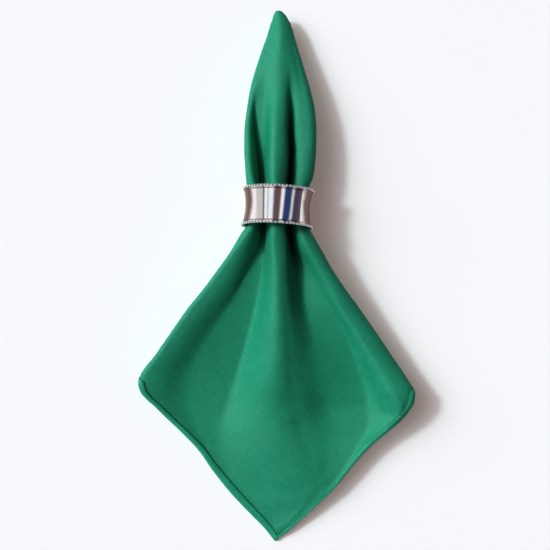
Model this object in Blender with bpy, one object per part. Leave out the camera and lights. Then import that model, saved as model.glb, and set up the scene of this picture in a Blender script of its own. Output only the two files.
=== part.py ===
"""Linen napkin drawn through a silver napkin ring, lying on a table.

A square napkin is folded in quarters, its two sides are turned under, and its closed corner is drawn
up through the ring. The stack of cloth is modelled as one sheet: a front panel with the gathers that
fan out of the ring, and a wing under each side, turned under along the slanted side folds.

Frame: the table is Z = 0, the closed corner points along +Y, the open hemmed corner along -Y.
Tables are in millimetres; the meshes are built in metres.
"""
import math

import bmesh
import bpy
import numpy as np
from mathutils import Matrix, Vector

MM = 0.001
CENTRING = (0.95, 1.53)    # moves the napkin and ring, in millimetres, so that the origin is mid-way

# Sizes of the napkin, in millimetres
SHEET_THICK = 1.6          # the stack of four plies of linen
TIP_THICK_FACTOR = 0.5     # the stack is rolled tighter at the closed corner
TIP_TAPER = 12.0           # over this length
TABLE_LEVEL = 0.8          # middle of a sheet that lies on the table
WING_GAP = 1.6             # each wing stops this far from the middle line

# Sizes of the ring, in millimetres
RING_CENTRE = (1.0, 38.9, 21.84)
RING_WAIST_RADIUS = 18.7
RING_RIM_RADIUS = 21.7
RING_HALF_LENGTH = 11.1
RING_WALL = 1.2
RING_LIP_RADIUS = 0.95
RING_PITCH = math.radians(4.0)     # its top leans towards the closed corner
RING_YAW = math.radians(-2.9)      # its right side is turned towards the open corner
RING_STEPS = 56
RING_ARC_POINTS = 7
RING_ARC_SHARE = 0.88              # of the band's arc that is clear of the round lips
RING_LIP_POINTS = 7
RING_LIP_ARC = (-0.35 * math.pi, 0.85 * math.pi)

# Materials
LINEN_COLOUR = (0.012, 0.22, 0.13)
LINEN_ROUGHNESS = 0.85
SILVER_COLOUR = (0.78, 0.76, 0.74)
SILVER_ROUGHNESS = 0.12

# Fold lines of the front panel: place along the napkin, place across it and height
LINE_COLUMNS = ("y", "x", "z")
LEFT_EDGE = (
    (155.2, 0.7, 12), (153.6, 0.2, 12), (151, -0.8, 12), (146, -2.2, 12), (140, -3.8, 12.5),
    (133, -6.2, 13.2), (121, -10.4, 14.8), (109, -13.8, 16.6), (97, -16.3, 18.8), (85, -17.5, 20.8),
    (73, -17.6, 22.2), (61.5, -17, 23), (53, -15.7, 22.8), (47, -14.7, 22), (41, -14.5, 21.4),
    (34, -14.7, 21.4), (29, -15.7, 22), (24, -18.6, 23), (13, -25.4, 23.4), (3, -33.2, 22.6),
    (-9, -42.2, 21.4), (-20, -51.1, 20), (-32, -59.8, 18.2), (-44, -68.2, 16), (-50, -72.6, 15),
    (-56, -77.6, 13.6), (-60, -80, 12.8), (-63, -80.7, 12.4), (-68, -79.6, 11.6), (-73, -76, 10.6),
    (-78, -71, 9.2), (-85, -63.9, 7.2), (-93, -55.7, 5.6), (-105, -45, 4.6), (-117, -36.4, 4.2),
    (-129, -27, 3.8), (-142, -15.5, 2.8), (-148, -9.8, 2.2), (-154, -4.9, 1.6), (-159.2, -1.4, 1.1),
)
LEFT_CREST = (
    (155.2, 1.2, 12.8), (151, 0.1, 13.6), (140, -2.6, 15.2), (126, -7.2, 17.6), (117, -10.4, 19),
    (108, -13, 20.6), (99, -15, 22), (90, -16.2, 23.4), (81, -16.5, 24.6), (72, -16.4, 25.8),
    (62, -15.6, 27), (52, -13.2, 27.8), (41, -11.8, 28.4), (30, -12.8, 28.4), (23, -17, 27.6),
    (14, -23.4, 26.8), (3, -31, 25.4), (-9, -39.8, 23.8), (-20, -48.6, 22.2), (-32, -57.4, 20),
    (-44, -66, 17.6), (-51, -70.8, 16), (-57, -74.8, 14.6), (-62, -77, 13.6), (-68, -76.2, 12.6),
    (-78, -68.4, 9.8), (-93, -53.6, 6.1), (-105, -43.6, 4.8), (-117, -35.2, 4.3), (-129, -26, 3.9),
    (-145, -11.8, 2.7), (-152, -5.8, 2), (-159.2, -1, 1.1),
)
LEFT_FLANK = (
    (155.2, 1.4, 13.1), (151, 0.7, 14.1), (138, -2.2, 16.6), (126, -5.6, 18.4), (115, -9, 19.8),
    (108, -11, 20.6), (99, -12.2, 20), (91, -12.8, 18.4), (82, -12.5, 16.6), (73, -11.4, 15),
    (66, -10.4, 14), (60, -9.8, 13.6), (52, -9.5, 13.4), (41, -9.3, 13.4), (30, -9.2, 13.4),
    (24, -9.2, 13.6), (19, -9.8, 14.2), (14, -11.6, 15.4), (9, -13.8, 16.4), (3, -17, 16.8),
    (-9, -22, 16.2), (-21, -29.4, 14.6), (-33, -37.2, 12.6), (-45, -44.4, 10.4), (-57, -49.6, 8),
    (-69, -51.6, 6), (-81, -50.3, 4.6), (-93, -46, 4), (-105, -40.2, 3.8), (-117, -32.6, 3.8),
    (-129, -24, 3.6), (-145, -10.9, 2.6), (-152, -5.2, 1.9), (-159.2, -0.8, 1.1),
)
LEFT_VALLEY = (
    (155.2, 1.6, 13.3), (151, 1.4, 14.6), (138, -0.6, 17.2), (126, -3.6, 19.4), (115, -6.4, 20.4),
    (108, -7.6, 20.8), (99, -7.4, 20.6), (91, -7, 20), (82, -6.7, 19.6), (76, -6.8, 18.8),
    (70, -7.2, 17), (64, -7.2, 15.4), (58, -6.9, 14.6), (52, -6.7, 14), (41, -6.5, 13.6), (30, -6.3, 13.6),
    (24, -6.3, 13.8), (20, -6.6, 14.2), (15, -7, 15), (9, -7.4, 15.8), (3, -8.2, 15.4),
    (-9, -10.2, 14.4), (-21, -12.9, 12.8), (-33, -16.2, 10.8), (-45, -19.5, 8.6), (-57, -23.5, 6.6),
    (-69, -27.7, 5), (-81, -32, 3.9), (-93, -35.4, 3.6), (-105, -34.6, 3.5), (-117, -29.6, 3.5),
    (-129, -21.8, 3.4), (-145, -9.8, 2.5), (-152, -4.5, 1.9), (-159.2, -0.6, 1.1),
)
MIDDLE_CREST = (
    (155.2, 1.9, 13.4), (150, 2.4, 15.4), (143, 3, 17.6), (135, 3.2, 19.8), (125, 2.8, 22),
    (116, 2.8, 23.6), (107, 2.4, 25.4), (98, 1.2, 27.4), (89, 0, 29.6), (80, -0.6, 31.8), (71, -1, 34.2),
    (64, -1.2, 36), (58, -1.2, 36.4), (52, -1, 36.2), (41, -0.6, 36), (30, -0.8, 36), (24, -1.2, 35.6),
    (20, -1.2, 34.8), (14, -0.6, 33.6), (9, -0.2, 32.8), (3, 0.2, 32), (-9, 0.6, 30.8),
    (-20, 0.8, 29.8), (-32, 1, 28.4), (-44, 1, 26.4), (-56, 1, 23.8), (-68, 0.9, 20.4), (-80, 1, 16.8),
    (-92, 2.6, 15), (-102, 6.5, 14.4), (-110, 11, 13.7), (-118, 16, 12.7), (-127, 18.6, 11),
    (-136, 15, 8.8), (-146, 8, 5.8), (-152, 4.2, 4), (-159.2, 0, 1.2),
)
SHOULDER = (
    (155.2, 2.1, 13.4), (150, 3, 15.2), (138, 4.4, 18.7), (126, 5.2, 21.5), (117, 5.8, 22.9),
    (108, 5.8, 24.4), (99, 5.5, 26.1), (91, 5.2, 27.9), (82, 5, 29.4), (73, 5.1, 31.5), (64, 5, 33.2),
    (58, 4.3, 33.8), (52, 4, 33.8), (41, 4, 33.8), (30, 4, 33.8), (24, 4.2, 33.5), (20, 5, 32.5),
    (14, 5.2, 31.8), (8, 5.5, 30.8), (3, 5.6, 30.1), (-9, 5.8, 29.1), (-20, 6.4, 27.9),
    (-37, 8.7, 25.2), (-54, 9.8, 21.9), (-66, 10.8, 18.8), (-78, 14, 15.2), (-92, 17, 12.5),
    (-104, 21, 12.6), (-112, 23, 12.8), (-120, 23.6, 12.2), (-128, 22.2, 10.9), (-136, 17.6, 9),
    (-144, 12, 6.9), (-152, 5.4, 4), (-159.2, 0.3, 1.2),
)
RIGHT_VALLEY = (
    (155.2, 2.3, 13.3), (150, 3.6, 15), (138, 5.8, 18.3), (126, 7.8, 20.8), (117, 8.7, 21.8),
    (108, 8.8, 22), (99, 8.8, 20), (91, 8.8, 17.6), (82, 8.9, 15.6), (72, 9.4, 14), (66, 9, 13.4),
    (60, 8.8, 13), (52, 8.4, 12.8), (41, 8, 12.8), (30, 8, 12.8), (24, 8, 12.8), (20, 8.6, 12.8),
    (14, 9.8, 13.4), (9, 11, 14.2), (3, 12.6, 15.8), (-9, 15.6, 17.6), (-21, 18.6, 18.2),
    (-33, 22, 17.8), (-45, 25, 16.8), (-57, 27.4, 15), (-69, 31, 11.8), (-80, 34.5, 9), (-92, 38, 9.6),
    (-104, 37, 10.9), (-112, 34, 11.6), (-120, 29.6, 12), (-128, 25.4, 10.9), (-136, 20, 9.1),
    (-144, 13.6, 6.9), (-152, 6.4, 4), (-159.2, 0.6, 1.2),
)
RIGHT_FOOT = (
    (155.2, 2.6, 13.1), (151, 4.1, 14.6), (138, 7.2, 17.8), (126, 9.8, 20.2), (117, 11.4, 21.4),
    (108, 12.2, 22.2), (99, 12.4, 22.8), (91, 12.3, 23.4), (82, 12.4, 24), (73, 12.8, 24.4),
    (66, 12, 24.6), (60, 11.4, 24.6), (52, 10.9, 24.6), (41, 10.6, 24.6), (30, 11, 24.2),
    (24, 11.4, 22.8), (20, 12, 22), (14, 14, 21.6), (9, 17, 21.2), (3, 20, 20.8),
    (-9, 26.4, 20.2), (-21, 33.4, 18.6), (-33, 40, 16.4), (-45, 45, 14.2), (-57, 49.4, 12),
    (-68, 52.4, 10.4), (-80, 53.4, 9.8), (-92, 53, 10.2), (-104, 46.8, 11.3), (-116, 38.4, 11.9),
    (-128, 30, 11.2), (-136, 22.6, 9.2), (-144, 15, 7.1), (-152, 7.4, 4.1), (-159.2, 0.8, 1.2),
)
RIGHT_RIDGE = (
    (155.2, 2.8, 12.9), (151, 5, 14), (140, 8.2, 16), (126, 12.2, 19), (117, 14.4, 20.6),
    (108, 16.8, 22), (99, 18.4, 23), (90, 19.4, 23.8), (81, 19.4, 24.6), (72, 18.6, 25.4), (62, 16.4, 26.6),
    (52, 14.4, 27.6), (41, 13.4, 28.2), (30, 14.2, 28.6), (23, 15.2, 29), (19, 16.8, 29), (14, 19.6, 28.6),
    (9, 22.7, 28), (3, 26.1, 27.2), (-9, 33.6, 26), (-20, 38.7, 24.8), (-32, 46.3, 23.8),
    (-43, 53.4, 23.4), (-55, 61.2, 23.6), (-62, 65.6, 24.2), (-68, 68.8, 24.6), (-74, 71.6, 24.2),
    (-80, 72.8, 22.6), (-88, 66.6, 18.8), (-98, 55.8, 15), (-110, 45.6, 13.4), (-120, 38.2, 12.6),
    (-128, 31.9, 11.5), (-136, 24.6, 9.5), (-144, 16.6, 7.3), (-152, 8.9, 4.4), (-159.2, 1, 1.2),
)
RIGHT_EDGE = (
    (155.2, 3.2, 12), (153.6, 4.5, 12), (151, 6.1, 12.3), (146, 8, 12.5), (140, 10, 13.2),
    (133, 12.2, 14.4), (121, 16, 16.6), (109, 19.7, 18.4), (97, 22.1, 19.6), (85, 22.9, 20.8),
    (73, 22.8, 21.8), (61.5, 21.6, 22.4), (53, 18.1, 22.4), (47, 16.8, 21.8), (41, 16.5, 21.4),
    (34, 16.8, 21.8), (29, 17.8, 22.4), (24, 19.8, 23.2), (13, 26.4, 23.6), (3, 32.4, 23),
    (-9, 40.5, 22.2), (-20, 48.7, 21.4), (-32, 57.1, 21), (-44, 65.4, 21.2), (-50, 69.4, 21.4),
    (-55, 72.9, 21.8), (-60, 76, 22.2), (-65, 79.1, 22.8), (-69, 80.6, 23), (-74, 80, 22.6),
    (-80, 76.6, 21.2), (-85, 72.8, 19.4), (-91, 66.6, 17.2), (-98, 58.9, 15), (-104, 53, 14),
    (-116, 42.9, 12.8), (-128, 34.2, 11.6), (-141, 21.8, 8.3), (-148, 15, 6.2), (-154, 8.4, 3.6),
    (-159.2, 2, 1.6),
)
FRONT_LINES = (LEFT_EDGE, LEFT_CREST, LEFT_FLANK, LEFT_VALLEY, MIDDLE_CREST, SHOULDER, RIGHT_VALLEY,
               RIGHT_FOOT, RIGHT_RIDGE, RIGHT_EDGE)
FRONT_SPLITS = (4, 4, 2, 7, 3, 4, 3, 5, 4)      # faces between neighbouring fold lines

# How far the level top of a crest and floor of a valley reach towards the next fold line: a value for
# each inner line, at places along the napkin
REACH_COLUMNS = ("y", "left crest", "flank", "left valley", "middle", "shoulder", "right valley", "foot",
                 "ridge")
REACHES = (
    (156, 0.4, 0.33, 0.33, 0.4, 0.33, 0.33, 0.33, 0.4), (105, 0.5, 0.3, 0.4, 0.5, 0.3, 0.35, 0.33, 0.6),
    (90, 0.8, 0.22, 0.5, 0.5, 0.3, 0.3, 0.3, 0.7), (75, 0.9, 0.2, 0.5, 0.45, 0.3, 0.28, 0.3, 0.7),
    (56, 0.8, 0.25, 0.35, 0.45, 0.3, 0.3, 0.3, 0.7), (24, 0.9, 0.15, 0.3, 0.45, 0.3, 0.3, 0.3, 0.5),
    (5, 0.9, 0.12, 0.3, 0.45, 0.3, 0.3, 0.3, 0.4), (-30, 0.55, 0.25, 0.24, 0.45, 0.33, 0.35, 0.33, 0.45),
    (-100, 0.45, 0.33, 0.28, 0.45, 0.33, 0.4, 0.33, 0.4),
    (-160, 0.4, 0.33, 0.33, 0.4, 0.33, 0.4, 0.33, 0.4),
)

# Underside of the wings: its height, and how far in from the side fold the cloth comes down to it
WING_COLUMNS = ("y", "height", "left_turn", "right_turn")
WINGS = (
    (156.2, 10.2, 1.2, 1.2), (151, 9.6, 3.4, 3.4), (133, 8.6, 7, 7), (109, 7.8, 13, 13),
    (85, 6.8, 16, 16), (61, 6.4, 15, 15), (41, 6.9, 14, 14), (31, 6.6, 14.5, 14.5), (24, 4.6, 16, 16),
    (15, TABLE_LEVEL, 18, 19), (0, TABLE_LEVEL, 20, 24), (-28, TABLE_LEVEL, 22, 28),
    (-68, TABLE_LEVEL, 22, 30),
)
WING_FULL_Y = -27.0        # past here each wing shortens towards the corner of its fold
LEFT_CORNER_Y = -63.0
RIGHT_CORNER_Y = -68.0
WING_SPLITS = 8
WING_TURN_POINTS = 17      # along the quarter round of the side fold, before even spacing

# Rows of faces along the napkin, each stretch with the place where it ends and its number of rows
FIRST_ROW_Y = 155.2
ROW_STRETCHES = ((151, 3), (61, 11), (21, 10), (WING_FULL_Y, 8), (LEFT_CORNER_Y, 6),
                 (RIGHT_CORNER_Y, 1), (-152, 12), (-159.2, 3))

HEM_BLEND = 14.0           # below a side corner the round side fold fades to a flat hem over this

# Rounding of the folds, as tight as the stack of plies bends
LEAST_ROLL = 2.0           # width of a side fold, in millimetres
LEAST_ROLL_SHARE = 1 / 6   # or this share of a narrow row
ROUNDING_PASSES = 3
EVEN_PLACES = ((-130.0, -145.0), (135.0, 150.0))    # rows turn to even spacing between these places


def clear_scene():
    """Removes every object that the scene starts with."""
    for thing in list(bpy.data.objects):
        bpy.data.objects.remove(thing, do_unlink=True)


def make_material(name, colour, roughness, metallic):
    """Returns a Principled material."""
    material = bpy.data.materials.new(name)
    material.use_nodes = True
    shader = material.node_tree.nodes["Principled BSDF"]
    shader.inputs["Base Color"].default_value = (*colour, 1.0)
    shader.inputs["Roughness"].default_value = roughness
    shader.inputs["Metallic"].default_value = metallic
    return material


def soft_slopes(places, values):
    """Slopes of a curve through the values that never swings past them."""
    steps = np.diff(places)
    rises = np.diff(values) / steps
    slopes = np.zeros(len(values))
    slopes[0] = rises[0]
    slopes[-1] = rises[-1]
    for i in range(1, len(values) - 1):
        if rises[i - 1] * rises[i] > 0:
            before = 2 * steps[i] + steps[i - 1]
            after = steps[i] + 2 * steps[i - 1]
            slopes[i] = (before + after) / (before / rises[i - 1] + after / rises[i])
    return slopes


def read_curve(places, values, slopes, place):
    """Reads a cubic curve with given slopes at one place."""
    i = int(np.clip(np.searchsorted(places, place) - 1, 0, len(places) - 2))
    step = places[i + 1] - places[i]
    t = float(np.clip((place - places[i]) / step, 0, 1))
    start = (1 + 2 * t) * (1 - t) ** 2
    end = t * t * (3 - 2 * t)
    lean_in = t * (1 - t) ** 2 * step
    lean_out = t * t * (t - 1) * step
    return start * values[i] + end * values[i + 1] + lean_in * slopes[i] + lean_out * slopes[i + 1]


def read_table(table, columns, name, y):
    """Reads the named column of a table at a place along the napkin."""
    rows = np.array(sorted(table), dtype=float)
    places = rows[:, columns.index("y")]
    values = rows[:, columns.index(name)]
    return read_curve(places, values, soft_slopes(places, values), y)


def read_line(line, y):
    """Returns where a fold line runs at a place along the napkin: (x, z)."""
    return read_table(line, LINE_COLUMNS, "x", y), read_table(line, LINE_COLUMNS, "z", y)


def row_places():
    """Places of the rows of points along the napkin, closed corner first."""
    places = [FIRST_ROW_Y]
    for end, count in ROW_STRETCHES:
        start = places[-1]
        places += [start + (end - start) * (i + 1) / count for i in range(count)]
    return places


def hem_share(y, corner_y):
    """0 along a side fold, 1 along the hem below its corner."""
    return float(np.clip((corner_y - y) / HEM_BLEND, 0, 1))


def side_roll(edge, crest, flat, steps):
    """Points from the side fold up to its crest: a quarter round, or a straight run at a hem."""
    points = []
    for i in range(steps):
        turn = math.pi / 2 * i / steps
        share = i / steps
        across = (1 - flat) * (1 - math.cos(turn)) + flat * share
        up = (1 - flat) * math.sin(turn) + flat * share
        points.append((edge[0] + (crest[0] - edge[0]) * across, edge[1] + (crest[1] - edge[1]) * up))
    return points


def fold_curve(start, end, slopes, reaches, steps):
    """Points from one fold line up to the next, on a curve with a handle at each."""
    run = end[0] - start[0]
    first = (start[0] + reaches[0] * run, start[1] + reaches[0] * run * slopes[0])
    second = (end[0] - reaches[1] * run, end[1] - reaches[1] * run * slopes[1])
    corners = np.array([start, first, second, end])
    points = []
    for t in np.arange(steps) / steps:
        shares = np.array([(1 - t) ** 3, 3 * t * (1 - t) ** 2, 3 * t * t * (1 - t), t ** 3])
        points.append(tuple(shares @ corners))
    return points


def rounded_row(points, y):
    """Rounds the folds of a row a little, and spaces its points evenly near the two corners."""
    for _ in range(ROUNDING_PASSES):
        points[1:-1] = (points[:-2] + 2 * points[1:-1] + points[2:]) / 4
    runs = np.concatenate([[0], np.cumsum(np.hypot(*np.diff(points, axis=0).T))])
    share = max(float(np.clip((y - start) / (end - start), 0, 1)) for start, end in EVEN_PLACES)
    reads = (1 - share) * runs + share * np.linspace(0, runs[-1], len(runs))
    return list(zip(np.interp(reads, runs, points[:, 0]), np.interp(reads, runs, points[:, 1])))


def front_row(y):
    """Points (x, z) of the front panel from its left edge to its right edge."""
    lines = [read_line(line, y) for line in FRONT_LINES]
    left_flat = hem_share(y, LEFT_CORNER_Y)
    right_flat = hem_share(y, RIGHT_CORNER_Y)
    roll = min(LEAST_ROLL, LEAST_ROLL_SHARE * (lines[-1][0] - lines[0][0]))
    lines[1] = (max(lines[1][0], lines[0][0] + roll * (1 - left_flat)), lines[1][1])
    lines[-2] = (min(lines[-2][0], lines[-1][0] - roll * (1 - right_flat)), lines[-2][1])
    inner = lines[1:-1]
    slopes = soft_slopes(np.array([x for x, z in inner]), np.array([z for x, z in inner]))
    slopes[0] *= left_flat
    slopes[-1] *= right_flat
    reaches = [read_table(REACHES, REACH_COLUMNS, name, y) for name in REACH_COLUMNS[1:]]
    points = side_roll(lines[0], lines[1], left_flat, FRONT_SPLITS[0])
    for i, count in enumerate(FRONT_SPLITS[1:-1]):
        points += fold_curve(inner[i], inner[i + 1], slopes[i:i + 2], reaches[i:i + 2], count)
    right = side_roll(lines[-1], lines[-2], right_flat, FRONT_SPLITS[-1])
    points.append(lines[-2])
    points += reversed(right)
    return rounded_row(np.array(points), y)


def wing_path(edge, turn_in, height, middle, side):
    """Finely spaced points of a wing: round the side fold, down, and in to the middle line."""
    turn_in = min(turn_in, abs(middle - edge[0]) - WING_GAP)
    points = []
    for angle in np.linspace(0, math.pi / 2, WING_TURN_POINTS):
        x = edge[0] - side * turn_in * (1 - math.cos(angle))
        z = edge[1] - (edge[1] - height) * math.sin(angle)
        points.append((x, z))
    points.append((middle + side * WING_GAP, height))
    return np.array(points)


def wing_row(y, edge, side, corner_y):
    """Points (x, z) of one wing after the side fold, evenly spaced; empty at its corner."""
    height = read_table(WINGS, WING_COLUMNS, "height", y)
    turn_in = read_table(WINGS, WING_COLUMNS, "left_turn" if side < 0 else "right_turn", y)
    middle = read_table(MIDDLE_CREST, LINE_COLUMNS, "x", max(y, 0.0))
    path = wing_path(edge, turn_in, height, middle, side)
    runs = np.concatenate([[0], np.cumsum(np.hypot(*np.diff(path, axis=0).T))])
    length = runs[-1]
    if y < WING_FULL_Y:
        length *= (y - corner_y) / (WING_FULL_Y - corner_y)
    reads = np.linspace(0, length, WING_SPLITS + 1)[1:]
    return list(zip(np.interp(reads, runs, path[:, 0]), np.interp(reads, runs, path[:, 1])))


def add_row(mesh, y, points):
    """Adds one row of points to the mesh and returns them."""
    return [mesh.verts.new((x * MM, y * MM, z * MM)) for x, z in points]


def add_faces(mesh, upper, lower):
    """Joins two rows of points with faces."""
    for i in range(len(upper) - 1):
        mesh.faces.new((upper[i], lower[i], lower[i + 1], upper[i + 1]))


def add_wing(mesh, places, front_rows, side, corner_y):
    """Adds one wing, joined to the front panel along the side fold, and ending at its corner."""
    end = 0 if side < 0 else -1
    rows = []
    for y, front in zip(places, front_rows):
        if y <= corner_y:
            corner = front[end]
            break
        edge = (front[end].co.x / MM, front[end].co.z / MM)
        rows.append([front[end]] + add_row(mesh, y, wing_row(y, edge, side, corner_y)))
    for upper, lower in zip(rows, rows[1:]):
        add_faces(mesh, upper, lower)
    last = rows[-1]
    for i in range(len(last) - 1):
        mesh.faces.new((last[i], corner, last[i + 1]))


def napkin_sheet():
    """Returns the mesh of the middle of the sheet: the front panel and its two wings."""
    mesh = bmesh.new()
    places = row_places()
    front_rows = [add_row(mesh, y, front_row(y)) for y in places]
    for upper, lower in zip(front_rows, front_rows[1:]):
        add_faces(mesh, upper, lower)
    add_wing(mesh, places, front_rows, -1, LEFT_CORNER_Y)
    add_wing(mesh, places, front_rows, 1, RIGHT_CORNER_Y)
    bmesh.ops.recalc_face_normals(mesh, faces=mesh.faces)
    return mesh


def finish_object(name, mesh, material):
    """Makes a smooth-shaded object from a mesh."""
    data = bpy.data.meshes.new(name)
    mesh.to_mesh(data)
    mesh.free()
    data.materials.append(material)
    data.shade_smooth()
    thing = bpy.data.objects.new(name, data)
    bpy.context.collection.objects.link(thing)
    return thing


def build_napkin():
    """The folded napkin, one sheet with its full thickness."""
    linen = make_material("green linen", LINEN_COLOUR, LINEN_ROUGHNESS, 0.0)
    napkin = finish_object("napkin", napkin_sheet(), linen)
    group = napkin.vertex_groups.new(name="full thickness")
    tip = FIRST_ROW_Y * MM
    for vertex in napkin.data.vertices:
        share = min((tip - vertex.co.y) / (TIP_TAPER * MM), 1.0)
        group.add([vertex.index], TIP_THICK_FACTOR + (1 - TIP_THICK_FACTOR) * share, "REPLACE")
    thicken = napkin.modifiers.new("stack of plies", "SOLIDIFY")
    thicken.thickness = SHEET_THICK * MM
    thicken.offset = 0.0
    thicken.use_even_offset = False
    thicken.vertex_group = group.name
    napkin.location = (CENTRING[0] * MM, CENTRING[1] * MM, 0)
    return napkin


def ring_profile():
    """Closed outline (radius, place along the axis) of the band: waisted, with round lips."""
    rise = RING_RIM_RADIUS - RING_LIP_RADIUS - RING_WAIST_RADIUS
    half = RING_HALF_LENGTH - RING_LIP_RADIUS
    arc_radius = (half ** 2 + rise ** 2) / (2 * rise)
    reach = math.asin(half / arc_radius)

    def band_point(angle, inset):
        """A point on the waisted face at an angle round its arc, moved in by inset."""
        radius = RING_WAIST_RADIUS + arc_radius - (arc_radius + inset) * math.cos(angle)
        return radius, (arc_radius + inset) * math.sin(angle)

    def lip(end):
        """Points round one lip, from the outer face to the inner face."""
        centre = band_point(end * reach, RING_WALL / 2)
        points = []
        for angle in np.linspace(*RING_LIP_ARC, RING_LIP_POINTS):
            out = RING_LIP_RADIUS * math.cos(angle)
            along = end * RING_LIP_RADIUS * math.sin(angle)
            points.append((centre[0] + out, centre[1] + along))
        return points

    angles = np.linspace(-reach, reach, RING_ARC_POINTS) * RING_ARC_SHARE
    outer = [band_point(angle, 0.0) for angle in angles]
    inner = [band_point(angle, RING_WALL) for angle in angles[::-1]]
    return outer + lip(1) + inner + lip(-1)[::-1]


def build_ring():
    """The silver band, turned about its own axis, then laid in its place round the napkin."""
    silver = make_material("polished silver", SILVER_COLOUR, SILVER_ROUGHNESS, 1.0)
    mesh = bmesh.new()
    profile = [mesh.verts.new((radius * MM, along * MM, 0)) for radius, along in ring_profile()]
    edges = [mesh.edges.new((a, b)) for a, b in zip(profile, profile[1:] + profile[:1])]
    bmesh.ops.spin(mesh, geom=profile + edges, axis=(0, 1, 0), cent=(0, 0, 0), steps=RING_STEPS,
                   angle=2 * math.pi, use_merge=True)
    bmesh.ops.recalc_face_normals(mesh, faces=mesh.faces)
    ring = finish_object("ring", mesh, silver)
    turn = Matrix.Rotation(RING_YAW, 4, "Z") @ Matrix.Rotation(-RING_PITCH, 4, "X")
    place = Vector(RING_CENTRE) + Vector((*CENTRING, 0))
    ring.matrix_world = Matrix.Translation(place * MM) @ turn
    return ring


def main():
    """Builds the napkin and its ring."""
    clear_scene()
    build_napkin()
    build_ring()


main()
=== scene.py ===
"""Linen napkin drawn through a beaded silver ring, lying on a pale table.

The square cloth is folded in quarters, its sides are turned under, and its closed corner is drawn up
through the ring. Each operator makes one piece, and the stage operator makes the table, the light and
the camera. Fold tables are in millimetres, and everything that is built is in metres.
"""
import math

import bpy
import numpy as np
from bpy.props import FloatProperty, FloatVectorProperty, IntProperty, PointerProperty
from bpy.types import Operator, Panel, PropertyGroup
from mathutils import Matrix, Vector, noise


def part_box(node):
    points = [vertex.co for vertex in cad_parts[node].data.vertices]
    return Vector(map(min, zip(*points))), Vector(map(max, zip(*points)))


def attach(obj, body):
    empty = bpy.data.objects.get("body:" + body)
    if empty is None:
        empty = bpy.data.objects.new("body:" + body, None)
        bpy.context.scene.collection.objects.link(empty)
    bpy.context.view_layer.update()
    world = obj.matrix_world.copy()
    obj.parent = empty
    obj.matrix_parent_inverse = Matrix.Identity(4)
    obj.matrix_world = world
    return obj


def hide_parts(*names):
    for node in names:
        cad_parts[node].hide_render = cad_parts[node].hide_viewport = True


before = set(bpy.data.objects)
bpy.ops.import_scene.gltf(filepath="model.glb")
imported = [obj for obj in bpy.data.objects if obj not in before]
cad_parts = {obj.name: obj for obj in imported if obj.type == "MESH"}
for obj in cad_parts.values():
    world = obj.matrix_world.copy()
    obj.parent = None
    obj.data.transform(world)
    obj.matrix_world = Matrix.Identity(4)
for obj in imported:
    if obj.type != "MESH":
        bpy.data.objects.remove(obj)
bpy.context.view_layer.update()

bl_info = {
    "name": "Napkin in a Ring",
    "version": (1, 0, 0),
    "blender": (4, 5, 0),
    "location": "View3D > Sidebar > Napkin",
    "description": "Makes a folded linen napkin drawn through a beaded silver ring, on a pale table",
    "category": "Object",
}

MM = 0.001
CENTRING = (0.95, 1.53)    # moves the fold tables so that the origin is mid-way, in millimetres
TABLE_CLEAR = 0.05         # no cloth lies lower than this, in millimetres

# Fold lines of the stack of plies: place along the napkin, place across it and height
LINE_COLUMNS = ("y", "x", "z")
LEFT_EDGE = (
    (155.2, 0, 12), (153.6, -0.7, 12), (151, -1.7, 12), (146, -3.2, 12), (140, -5, 12.5),
    (133, -7.5, 13.2), (121, -11.3, 14.8), (109, -14.4, 16.6), (97, -16.3, 18.8), (85, -17.5, 20.8),
    (73, -17.6, 22.2), (61.5, -17, 23), (53, -16.3, 22.8), (47, -14.7, 22), (41, -14.5, 21.4),
    (34, -14.7, 21.4), (29, -16, 22), (24, -19.4, 22.8), (13, -26, 23), (3, -33.2, 22),
    (-9, -42.2, 20.6), (-20, -51.1, 19.2), (-32, -59.8, 17.4), (-44, -68.2, 15.4), (-50, -72.6, 14.4),
    (-56, -77.6, 13.2), (-60, -80, 12.6), (-63, -80.9, 12.3), (-68, -80.1, 11.8), (-73, -76.8, 10.8),
    (-78, -71.5, 9.3), (-85, -64.8, 7.2), (-93, -56.8, 5.6), (-105, -46, 4.6), (-117, -37.8, 4.2),
    (-129, -28.3, 3.8), (-142, -16.3, 2.8), (-148, -10.3, 2.2), (-154, -4.9, 1.6), (-159.2, -1.4, 1.1),
)
LEFT_CREST = (
    (155.2, 1.2, 12.8), (151, -0.5, 13.6), (140, -3.5, 15.2), (126, -7.9, 17.6), (117, -10.4, 19),
    (108, -13, 20.6), (99, -15, 22), (90, -16.2, 23.4), (81, -16.5, 24.6), (72, -16.4, 25.8),
    (62, -15.6, 27), (52, -13.2, 27.8), (41, -11.8, 28.4), (30, -12.8, 28.4), (23, -17, 27.4),
    (14, -23.4, 26.2), (3, -31.2, 24.4), (-9, -40.4, 22.4), (-20, -49.4, 20.6), (-32, -58.2, 18.4),
    (-44, -66.8, 16.3), (-51, -71.8, 15), (-57, -76.6, 13.8), (-62, -79.2, 13.2), (-68, -78.4, 12.4),
    (-78, -70.2, 9.8), (-93, -55.3, 6.1), (-105, -44.6, 4.8), (-117, -36.6, 4.3), (-129, -27.3, 3.9),
    (-145, -12.4, 2.7), (-152, -5.8, 2), (-159.2, -1, 1.1),
)
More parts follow.
